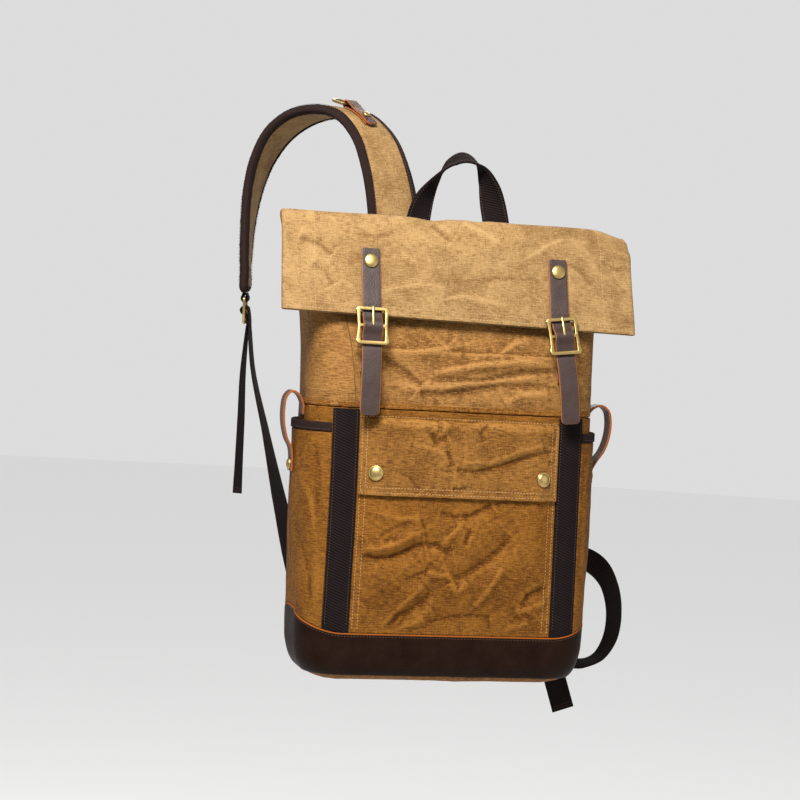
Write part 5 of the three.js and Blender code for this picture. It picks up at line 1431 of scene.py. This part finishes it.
buckles = {}
closures = {}
over = BUCKLE["length"] / 2
bar_out = BUCKLE["wire"] / 2 + GAP + CLOSURE["wall"] / 2
for side in SIDES:
    height = BUCKLE["height"]
    x = closure_x(side, height)
    tilt = math.atan2(closure_x(side, height + 10) - closure_x(side, height - 10), 20)
    top_y = buckle_plane(x, height + over)
    forward = top_y - buckle_plane(x, height - over)
    slope = math.atan2(forward, BUCKLE["length"])
    spot = Spot((x, top_y - forward / 2, height), turn_x(math.pi / 2 - slope) @ turn_z(-tilt))
    buckles[side] = spot
    across = spot.axes[:, 0]

    def face(z):
        y, _ = flap_face(closure_x(side, z), z, BUCKLE["gap"] + CLOSURE["wall"] / 2)
        return (closure_x(side, z), y, z)

    low_y = spot.at(0, -over - 14, -bar_out)[1]
    rivet, tip = CLOSURE["rivet"], CLOSURE["tip"]
    places = [face(CLOSURE["top"]), face(rivet), face(mix(rivet, height + over, 0.35)),
              face(mix(rivet, height + over, 0.7)),
              spot.at(0, over + 6, -bar_out), spot.at(0, over - 2, -bar_out),
              spot.at(0, over * 0.42, -0.2 * bar_out), spot.at(0, over * 0.12, bar_out),
              spot.at(0, -over * 0.12, bar_out), spot.at(0, -over * 0.42, -0.2 * bar_out),
              spot.at(0, -over + 2, -bar_out), spot.at(0, -over - 5, -bar_out),
              (closure_x(side, mix(height, tip, 0.5)), low_y - 2.5, mix(height - over, tip, 0.45)),
              (closure_x(side, tip), low_y - 5.5, tip)]
    ribbon = through([(place, across) for place in places], 1.3)
    closures[side] = ribbon
    length = ribbon.length

    def closure_width(run, length=length):
        past_tip, before_head = (run - length + 5) / 5, (3 - run) / 3
        tip_cut = 1 if past_tip < 0 else 0.55 + 0.45 * math.sqrt(max(1 - past_tip ** 2, 0))
        head_cut = 1 if before_head < 0 else 0.8 + 0.2 * math.sqrt(max(1 - before_head ** 2, 0))
        return tip_cut * head_cut

    strap = band_mesh("closure_leather_" + side, ribbon,
                      rounded_section(CLOSURE["width"], CLOSURE["wall"], 0.5), flats=8, widths=closure_width,
                      raised=lambda run, across: 0.14 * noise(run / 12, across / 8, 7))
    finish_piece(strap, LEATHER_STRAP_TONE_AND_SHEEN, replaces=("closure_strap_" + side,))
    lines = ribbon_lines(ribbon, 7.9, CLOSURE["wall"] / 2, 2.5, length - 3)
    stitches("closure_stitches_" + side, lines, THREAD_DARK, 2.2, 3.3, 0.3)

    under = bar_out + CLOSURE["wall"] + 2 * GAP

    def wall_y(z):
        rows = smooth_table(tube[:8], 1, np.asarray([z], float))[0]
        return rows[2] * BODY_DEPTH - rows[5] * BODY_DEPTH / 2 - 4 * GAP - CLOSURE["wall"] / 2

    low_z = CLOSURE["anchor"]
    places = [spot.at(0, 7, -bar_out - GAP), spot.at(0, 0, -bar_out), spot.at(0, -over * 0.36, -bar_out - 1),
              spot.at(0, -over * 0.9, -under), spot.at(0, -over - 6, -under - 1),
              (closure_x(side, low_z + 14), wall_y(low_z + 14) - 1.2, low_z + 14),
              (closure_x(side, low_z), wall_y(low_z) - 1.2, low_z)]
    anchor = band_mesh("anchor_leather_" + side, through([(place, across) for place in places], 1.5),
                       rounded_section(CLOSURE["width"] - 3, CLOSURE["wall"], 0.5), flats=6)
    finish_piece(anchor, LEATHER_STRAP_TONE_AND_SHEEN, replaces=("buckle_anchor_" + side,))


# Hard pieces, modelled in millimetres at the origin and then put in their spots
def select_in(obj, test, kind):
    bpy.ops.mesh.select_mode(type=kind)
    bpy.ops.mesh.select_all(action="DESELECT")
    bm = bmesh.from_edit_mesh(obj.data)
    for item in {"VERT": bm.verts, "EDGE": bm.edges, "FACE": bm.faces}[kind]:
        if test(item):
            item.select_set(True)
    bm.select_flush_mode()
    bmesh.update_edit_mesh(obj.data)


def begin(primitive, **settings):
    bpy.ops.object.select_all(action="DESELECT")
    primitive(**settings)
    obj = bpy.context.active_object
    bpy.ops.object.transform_apply(location=True, rotation=True, scale=True)
    bpy.ops.object.mode_set(mode="EDIT")
    bpy.ops.mesh.select_all(action="SELECT")
    return obj


def settle(obj, name, spot, node, body=BAG, angle=38):
    """Leave edit mode and put the piece in its spot, in the frame's metres."""
    bpy.ops.mesh.select_all(action="SELECT")
    bpy.ops.mesh.normals_make_consistent(inside=False)
    bpy.ops.object.mode_set(mode="OBJECT")
    axes = spot.axes / 1000
    place = row(spot.origin)
    obj.data.transform(Matrix([[*axes[i], place[i]] for i in range(3)] + [[0, 0, 0, 1]]))
    obj.name = name
    obj.data.name = name
    bpy.ops.object.shade_smooth_by_angle(angle=math.radians(angle))
    return finish_piece(obj, BRASS, body, replaces=(node,))


def thicken(wall):
    """Turn the plate in edit mode into a solid, with half of its wall on each side."""
    bpy.ops.mesh.select_all(action="SELECT")
    bpy.ops.mesh.extrude_region_move(TRANSFORM_OT_translate={"value": (0, 0, wall)})
    bpy.ops.mesh.select_all(action="SELECT")
    bpy.ops.transform.translate(value=(0, 0, -wall / 2))
    bpy.ops.mesh.normals_make_consistent(inside=False)


def round_rims(offset):
    """Round every sharp edge of the solid in edit mode."""
    bpy.ops.mesh.select_mode(type="EDGE")
    bpy.ops.mesh.select_all(action="DESELECT")
    bpy.ops.mesh.edges_select_sharp(sharpness=math.radians(50))
    bpy.ops.mesh.bevel(offset=offset, segments=3, affect="EDGES", clamp_overlap=True)


def bar_frame(name, spot, node, width, length, wire, windows, wall, waist, corner=3.6):
    """Rectangular buckle: cut from a plate, with a waist, its windows and rounded rims."""
    obj = begin(bpy.ops.mesh.primitive_plane_add, size=1)
    bpy.ops.transform.resize(value=(width, length, 1))
    inner = width / 2 - wire * 1.3
    for x in (-inner, inner):
        bpy.ops.mesh.select_all(action="SELECT")
        bpy.ops.mesh.bisect(plane_co=(x, 0, 0), plane_no=(1, 0, 0))
    levels = sorted({0.0, -length / 4, length / 4, *[y for window in windows for y in window]})
    for y in levels:
        bpy.ops.mesh.select_all(action="SELECT")
        bpy.ops.mesh.bisect(plane_co=(0, y, 0), plane_no=(0, 1, 0))
    for y in levels:
        if abs(y) < length / 2 - wire * 1.5:
            select_in(obj, lambda v: abs(v.co.y - y) < 0.01 and abs(v.co.x) > inner + 0.01, "VERT")
            bend = 1 - waist * (1 - (2 * y / length) ** 2) / (width / 2)
            bpy.ops.transform.resize(value=(bend, 1, 1), center_override=(0, 0, 0))

    def in_window(f):
        c = f.calc_center_median()
        return abs(c.x) < inner and any(a < c.y < b for a, b in windows)

    select_in(obj, in_window, "FACE")
    bpy.ops.mesh.delete(type="FACE")
    thicken(wall)

    def outer_corner(e):
        a, b = e.verts
        outermost = abs(a.co.x) > inner + 0.5 and abs(a.co.y) > length / 2 - 0.1
        return abs(a.co.z - b.co.z) > wall / 2 and outermost

    select_in(obj, outer_corner, "EDGE")
    bpy.ops.mesh.bevel(offset=corner, segments=5, affect="EDGES")
    round_rims(min(wire, wall) * 0.32)
    return settle(obj, name, spot, node)


def cap_piece(name, spot, node, diameter, height, profile, segments=40):
    """Round cap, raised from a disc ring by ring."""
    obj = begin(bpy.ops.mesh.primitive_circle_add, vertices=segments, radius=diameter / 2, fill_type="NGON")
    at_radius, at_height = 1.0, 0.0
    for radius, up in profile:
        bpy.ops.mesh.extrude_region_move(TRANSFORM_OT_translate={"value": (0, 0, (up - at_height) * height)})
        if radius != at_radius:
            bpy.ops.transform.resize(value=(radius / at_radius, radius / at_radius, 1))
        at_radius, at_height = radius, up
    return settle(obj, name, spot, node, angle=60)


# Caps: radius and height of each ring as shares, then each cap's width and height, and how far it is lifted
SNAP_PROFILE = [(1, 0.3), (0.97, 0.45), (0.9, 0.52), (0.84, 0.47), (0.8, 0.5), (0.74, 0.68), (0.6, 0.85),
                (0.42, 0.95), (0.2, 1), (0.06, 1.01)]
RIVET_PROFILE = [(1, 0.32), (0.97, 0.5), (0.9, 0.66), (0.78, 0.8), (0.6, 0.92), (0.38, 0.99), (0.15, 1.02),
                 (0.05, 1.02)]
SNAP_CAP = (15.5, 3.6)
RIVET_CAP = (15, 3.2)
LOOP_CAP = (12, 3)
TAB_CAP = (9, 2.4)
SEAT = 0.1
SNAP_HEIGHT, SNAP_SPACING, SNAP_SHIFT = 214.5, 175, 1.5


def prong_piece(name, spot, node):
    """Prong: a ring round the middle bar and a pin that lies over the top bar."""
    half = BUCKLE["wire"] / 2
    thick = 0.95
    reach = half * math.sqrt(2) + GAP + thick
    obj = begin(bpy.ops.mesh.primitive_circle_add, vertices=10, radius=thick, fill_type="NGON",
                rotation=(0, math.pi / 2, math.pi / 2))
    bpy.ops.transform.resize(value=(PRONG_WIDTH / 2 / thick, 1, 1))
    bpy.ops.transform.translate(value=(0, 0, reach))
    bpy.ops.mesh.spin(steps=16, angle=math.radians(245), center=(0, 0, 0), axis=(1, 0, 0))
    tip = BUCKLE["length"] / 2 + 0.6
    bpy.ops.mesh.select_mode(type="FACE")
    bpy.ops.mesh.select_all(action="DESELECT")
    bm = bmesh.from_edit_mesh(obj.data)
    start = Vector((0, 0, reach))
    caps = [face for face in bm.faces if len(face.verts) > 6]
    min(caps, key=lambda face: (face.calc_center_median() - start).length).select_set(True)
    bmesh.update_edit_mesh(obj.data)
    steps = [(0.18, 0.35, 1.0), (0.2, 0.1, 1.0), (0.22, -0.25, 0.97), (0.2, -0.35, 0.92), (0.14, -0.35, 0.85),
             (0.06, -0.2, 0.6)]
    for share, lift, size in steps:
        bpy.ops.mesh.extrude_region_move(TRANSFORM_OT_translate={"value": (0, share * tip, lift)})
        bpy.ops.transform.resize(value=(size, 1, size))
    return settle(obj, name, spot, node, angle=60)


half_wire = BUCKLE["wire"] / 2
bar = BUCKLE["length"] / 2 - BUCKLE["wire"]
for side, spot in buckles.items():
    bar_frame("buckle_" + side, spot, "buckle_frame_" + side, BUCKLE["width"], BUCKLE["length"],
              BUCKLE["wire"], [(-bar, -half_wire), (half_wire, bar)], BUCKLE["wire"], 1.5)
    prong_piece("prong_" + side, spot, "buckle_prong_" + side)
    ribbon = closures[side]
    nearest = int(np.argmin(np.abs(ribbon.place[:, 2] - CLOSURE["rivet"])))
    out = ribbon.normal[nearest] * (1 if ribbon.normal[nearest][1] < 0 else -1)
    cap_piece("rivet_" + side, facing(ribbon.place[nearest] + out * (CLOSURE["wall"] / 2 + SEAT), out),
              "strap_rivet_" + side, *RIVET_CAP, RIVET_PROFILE)

for side, sign in SIDES.items():
    x = SNAP_SHIFT + sign * SNAP_SPACING / 2
    place, left, right, below, above = (
        pocket_flap.at(np.array([x + dx]), np.array([SNAP_HEIGHT + dz]), CLOTH)[0]
        for dx, dz in ((0, 0), (-6, 0), (6, 0), (0, -6), (0, 6)))
    out = unit(np.cross(right - left, above - below))
    cap_piece("pocket_snap_" + side, facing(place + out * SEAT, out), "flap_snap_" + side, *SNAP_CAP,
              SNAP_PROFILE)
for side, sign, snap_out in snap_places:
    place = (sign * (snap_out + LOOP["wall"] / 2 + SEAT), 0, LOOP["snap"])
    cap_piece("loop_cap_" + side, facing(place, (sign, 0, 0)), "loop_snap_" + side, *LOOP_CAP,
              SNAP_PROFILE, 32)

# D-ring on a leather tab, riveted to the left strap near its top
TAB = {"width": 15, "length": 40, "place": 7 / 15}
RING_WIDTH, RING_LENGTH, RING_WIRE = 32, 22, 3
arch = straps["left"]
ring_run = TAB["place"] * arch.length


def on_strap(back, lift):
    place, along, across, normal = (v[0] for v in arch.read(np.array([ring_run - back])))
    up = normal if normal[2] > 0 else -normal
    return place + up * (STRAP_PAD / 2 + lift), along, across, up


tab_gap = 2 * GAP
tab_bend = RING_WIRE / 2 * math.sqrt(2) + tab_gap + LEATHER / 2
ring_origin, ring_along, ring_across, ring_up = on_strap(0, tab_gap + LEATHER / 2 + tab_bend)
ring_spot = Spot(ring_origin, np.stack([np.cross(ring_along, ring_up), ring_along, ring_up], axis=1))
low_lift = tab_gap + LEATHER / 2
high_lift = low_lift + LEATHER + tab_gap
bend_rows = []
for degrees in range(0, 181, 30):
    angle = math.radians(degrees)
    bend_rows.append((ring_spot.at(0, tab_bend * math.sin(angle), -tab_bend * math.cos(angle)), ring_across))
low_rows, high_rows = ([on_strap(TAB["length"] * share, lift)[:3:2] for share, lift in layer] for layer in (
    ((0.92, low_lift), (0.6, low_lift), (0.3, low_lift)),
    ((0.3, high_lift + 0.5), (0.6, high_lift), (1, high_lift))))
tab_ribbon = through(low_rows + bend_rows + high_rows, 1.0)


def tab_width(run, length=tab_ribbon.length):
    left = length - run
    return 1 if left > 6 else 0.35 + 0.65 * math.sqrt(max(1 - ((6 - left) / 6) ** 2, 0))


tab = band_mesh("ring_tab_leather", tab_ribbon, rounded_section(TAB["width"], LEATHER, 0.45), flats=6,
                widths=tab_width)
finish_piece(tab, LEATHER_TAN, replaces=("ring_tab",))
lines = ribbon_lines(tab_ribbon, 5.6, LEATHER / 2, tab_ribbon.length - 34, tab_ribbon.length - 6)
stitches("ring_tab_stitches", lines, THREAD_BROWN, 2.0, 3.0, 0.26)
place, _, _, up = on_strap(TAB["length"] * 0.62, 3 * tab_gap + 2 * LEATHER - 0.2)
cap_piece("tab_cap", facing(place, up, (1, 0, 0)), "tab_rivet", *TAB_CAP, RIVET_PROFILE, 28)


def d_ring():
    """Ring: half an oval on two straight sides, cut from a plate and rounded to wire."""
    obj = begin(bpy.ops.mesh.primitive_circle_add, vertices=44, radius=RING_WIDTH / 2, fill_type="NGON")
    straight = RING_LENGTH * 0.35
    bpy.ops.transform.resize(value=(1, (RING_LENGTH - straight) / (RING_WIDTH / 2), 1))
    bpy.ops.mesh.bisect(plane_co=(0, 0, 0), plane_no=(0, 1, 0), clear_inner=True)
    bpy.ops.mesh.select_all(action="SELECT")
    bpy.ops.transform.translate(value=(0, straight, 0))
    select_in(obj, lambda e: all(abs(v.co.y - straight) < 0.01 for v in e.verts), "EDGE")
    bpy.ops.mesh.extrude_region_move(TRANSFORM_OT_translate={"value": (0, -straight - RING_WIRE / 2, 0)})
    bpy.ops.mesh.select_all(action="SELECT")
    bpy.ops.mesh.normals_make_consistent(inside=False)
    bpy.ops.mesh.select_mode(type="FACE")
    bpy.ops.mesh.select_all(action="SELECT")
    bpy.ops.mesh.inset(thickness=RING_WIRE, use_boundary=True)
    bpy.ops.mesh.delete(type="FACE")
    thicken(RING_WIRE)
    round_rims(RING_WIRE * 0.36)
    return settle(obj, "ring", ring_spot, "d_ring", RING)


d_ring()

# Adjusters and the webbing threaded through them
ADJUSTER = {"width": 34, "length": 31, "wall": 3, "bar": 3.6}
LOWER = {"width": 25, "wall": 2}
pitch = (ADJUSTER["length"] - ADJUSTER["bar"]) / 2
half_bar = ADJUSTER["bar"] / 2
wrap = ADJUSTER["wall"] / 2 + GAP + LOWER["wall"] / 2
adjusters = {}
for side, ribbon in straps.items():
    place, along, across, normal = (v[0] for v in ribbon.read(np.array([ribbon.length])))
    drop = STRAP_BINDING + 3 + ADJUSTER["length"] / 2
    up = -along
    spot = Spot(place + along * drop, np.stack([np.cross(up, normal), up, normal], axis=1))
    adjusters[side] = (spot, across)
    bar_frame("slider_" + side, spot, "adjuster_" + side, ADJUSTER["width"], ADJUSTER["length"],
              ADJUSTER["bar"] * 0.8, [(-pitch + half_bar, -half_bar), (half_bar, pitch - half_bar)],
              ADJUSTER["wall"], 0.7, 3)
    tie_end = drop - STRAP_BINDING + BINDING_CUT - GAP
    tie_bend = half_bar + GAP * 2 + LOWER["wall"] / 2
    tie_out = (LOWER["wall"] + GAP) / 2
    rows = [(tie_end, -tie_out), (mix(pitch, tie_end, 0.5), -wrap * 0.8)]
    for degrees in range(0, 181, 30):
        angle = math.radians(degrees)
        rows.append((pitch - tie_bend * 1.15 * math.sin(angle), -(wrap + GAP) * math.cos(angle)))
    rows += [(mix(pitch, tie_end, 0.5), wrap * 0.8), (tie_end, tie_out)]
    tie_ribbon = through([(spot.at(0, high, out), across) for high, out in rows], 1.0)
    tie = band_mesh("slider_tie_" + side, tie_ribbon, rounded_section(LOWER["width"], LOWER["wall"], 0.8),
                    flats=6)
    finish_piece(tie, WEBBING, replaces=("adjuster_tie_" + side,))

ROUTES = {
    # x, y, z and the direction across, for each place from the bag up to the adjuster and for the free tail
    "left": ([(-128, 86, 84, 0.85, 0.25, 0.35), (-143, 125, 150, 0.65, 0.65, 0.1),
              (-157, 180, 235, 0.42, 0.88, -0.05), (-168, 228, 305, 0.28, 0.96, 0)],
             [(-174, 262, 300, 0.36, 0.92, 0), (-174, 258, 250, 0.42, 0.9, 0),
              (-174.5, 254, 205, 0.45, 0.89, 0.03), (-175, 250, 163, 0.5, 0.86, 0.05)]),
    "right": ([(146, 69.5, 18, 0.25, 0, 0.97), (168, 74, 10, 0.3, 0.75, 0.6), (190, 79, 4, 0.2, 0.95, 0.2),
               (211, 84, 10, -0.1, 0.97, 0.1), (225, 88, 30, -0.3, 0.95, 0.05), (229, 91, 60, -0.4, 0.92, 0),
               (222, 93, 90, -0.5, 0.75, -0.2), (207, 95, 110, -0.35, 0.3, -0.85),
               (186, 98, 119, -0.1, -0.1, -0.98), (163, 99, 117, 0.3, -0.05, -0.95),
               (141, 99, 113, 0.7, 0, -0.7)],
              [(133, 103.5, 100, 0.95, 0, 0.28), (146, 101, 55, 0.95, 0, 0.3), (159, 99, 8, 0.95, 0, 0.32),
               (170, 97, -26, 0.95, 0, 0.32), (178, 95, -51, 0.94, 0, 0.33)]),
}
SEWN = {"left": [(-98, 16), (-107, 30), (-115, 46)], "right": [(92, 30), (107, 25), (122, 21)]}
SEWN_ACROSS = {"left": (0.88, 0, 0.47), "right": (0.3, 0, 0.95)}
sewn_out = 2 * GAP + LEATHER + LOWER["wall"] / 2 + 0.3
bend_out = math.hypot(half_bar, ADJUSTER["wall"] / 2) + 2 * GAP + LOWER["wall"] / 2


def turned(entries):
    """Rows of a strap from entries of x, y, z and the direction across."""
    return [(entry[:3], unit(np.array(entry[3:], float))) for entry in entries]


for side, (spot, across) in adjusters.items():
    load, tail = ROUTES[side]
    layer = LOWER["wall"] + 2 * GAP
    threaded = [(-pitch - 8, -wrap - layer - GAP), (-pitch, -wrap - layer), (-pitch / 2, -wrap - layer * 0.8)]
    for degrees in range(0, 271, 30):
        angle = math.radians(degrees)
        threaded.append((bend_out * math.sin(angle), -bend_out * math.cos(angle)))
    threaded += [(-pitch * 0.78, -wrap), (-pitch, -wrap - GAP / 2), (-pitch - 5, -wrap)]
    rows = []
    for x, z in SEWN[side]:
        y = float(on_body(6.0, z + LOWER["width"] / 3, 0)[1]) + sewn_out
        rows.append((x, y, z, *SEWN_ACROSS[side]))
    passes = [(spot.at(0, high, out), across) for high, out in threaded]
    ribbon = through(turned(rows + load) + passes + turned(tail), 1.6)
    lower_strap = band_mesh("lower_strap_" + side, ribbon,
                            rounded_section(LOWER["width"], LOWER["wall"], 0.8), flats=7,
                            raised=lambda run, wide: 0.1 * noise(run / 13, wide / 9, 2))
    finish_piece(lower_strap, WEBBING, replaces=("lower_webbing_" + side,))
    end = ribbon.length
    lines = []
    for back in (3, 6):
        share = np.linspace(-10.5, 10.5, 30)
        for face in (-1, 1):
            points = ribbon.at(np.full(30, end - back), share, np.full(30, face * (LOWER["wall"] / 2 + 0.05)))
            lines.append((points, ribbon.read(np.full(30, end - back))[3] * face))
    stitches("lower_strap_stitches_" + side, lines, THREAD_DARK, 2.0, 2.9, 0.28)

# Stitching on the rolled flap: two rows along its hem and one down each side, in front and behind
lines = []
FACE_STITCH, UNDER_STITCH, SIDE_STITCH = 183, 181, 152
shown = np.linspace(half - FACE_STITCH, half + FACE_STITCH, 330)
for inset in (3.2, 9.0):
    lines.append(sheet_line(flap, shown, np.full(330, TUBE_END - inset)))
hidden = np.linspace(-UNDER_STITCH, UNDER_STITCH, 300)
lines.append(sheet_line(flap, hidden, np.full(300, TUBE_END - 3.2)))
runs = np.linspace(FOLD_RUN + 6, TUBE_END - 4, 90)
for across in (-SIDE_STITCH, SIDE_STITCH):
    lines.append(sheet_line(flap, np.full(90, half + across), runs))
stitches("roll_stitches", lines, THREAD_PALE)

# Each side pocket's cloth is looked up by name; nothing is changed.
for side in SIDES:
    bpy.data.objects["side_pocket_cloth_" + side]
    "side_pocket_stitches_" + side

# Pale studio: a floor well below the hanging bag, a pale world and soft lights
FLOOR_DROP = 1.35
FLOOR_RADIUS = 14
STUDIO = (0.93, 0.93, 0.93)
WORLD_STRENGTH = 0.72
bpy.ops.object.select_all(action="DESELECT")
bpy.ops.mesh.primitive_circle_add(vertices=96, radius=FLOOR_RADIUS, fill_type="NGON",
                                  location=(0, 0, -FLOOR_DROP))
floor = bpy.context.active_object
floor.name = "studio_floor"
floor.data.materials.append(Shader("studio floor", STUDIO, 0.95).material)

world = bpy.data.worlds.new("studio")
bpy.context.scene.world = world
world.use_nodes = True
backdrop = world.node_tree.nodes["Background"]
backdrop.inputs["Color"].default_value = (1, 1, 1, 1)
backdrop.inputs["Strength"].default_value = WORLD_STRENGTH


def area_light(name, place, aim, size, power, color=(1, 1, 1)):
    """Soft square light, placed and aimed in bag millimetres."""
    light = bpy.data.lights.new(name, "AREA")
    light.energy, light.size, light.color = power, size, color
    obj = bpy.data.objects.new(name, light)
    bpy.context.scene.collection.objects.link(obj)
    obj.location = row(place)
    obj.rotation_euler = (Vector(row(aim)) - obj.location).to_track_quat("-Z", "Y").to_euler()


area_light("key", (-480, -980, 1350), (0, 0, 240), 0.45, 84, (1, 0.985, 0.96))
area_light("fill", (1700, -1500, 500), (0, 0, 240), 1.6, 10)
area_light("back_rim", (500, 1500, 1300), (0, 0, 320), 1.0, 16)
bpy.context.scene.view_settings.view_transform = "Standard"
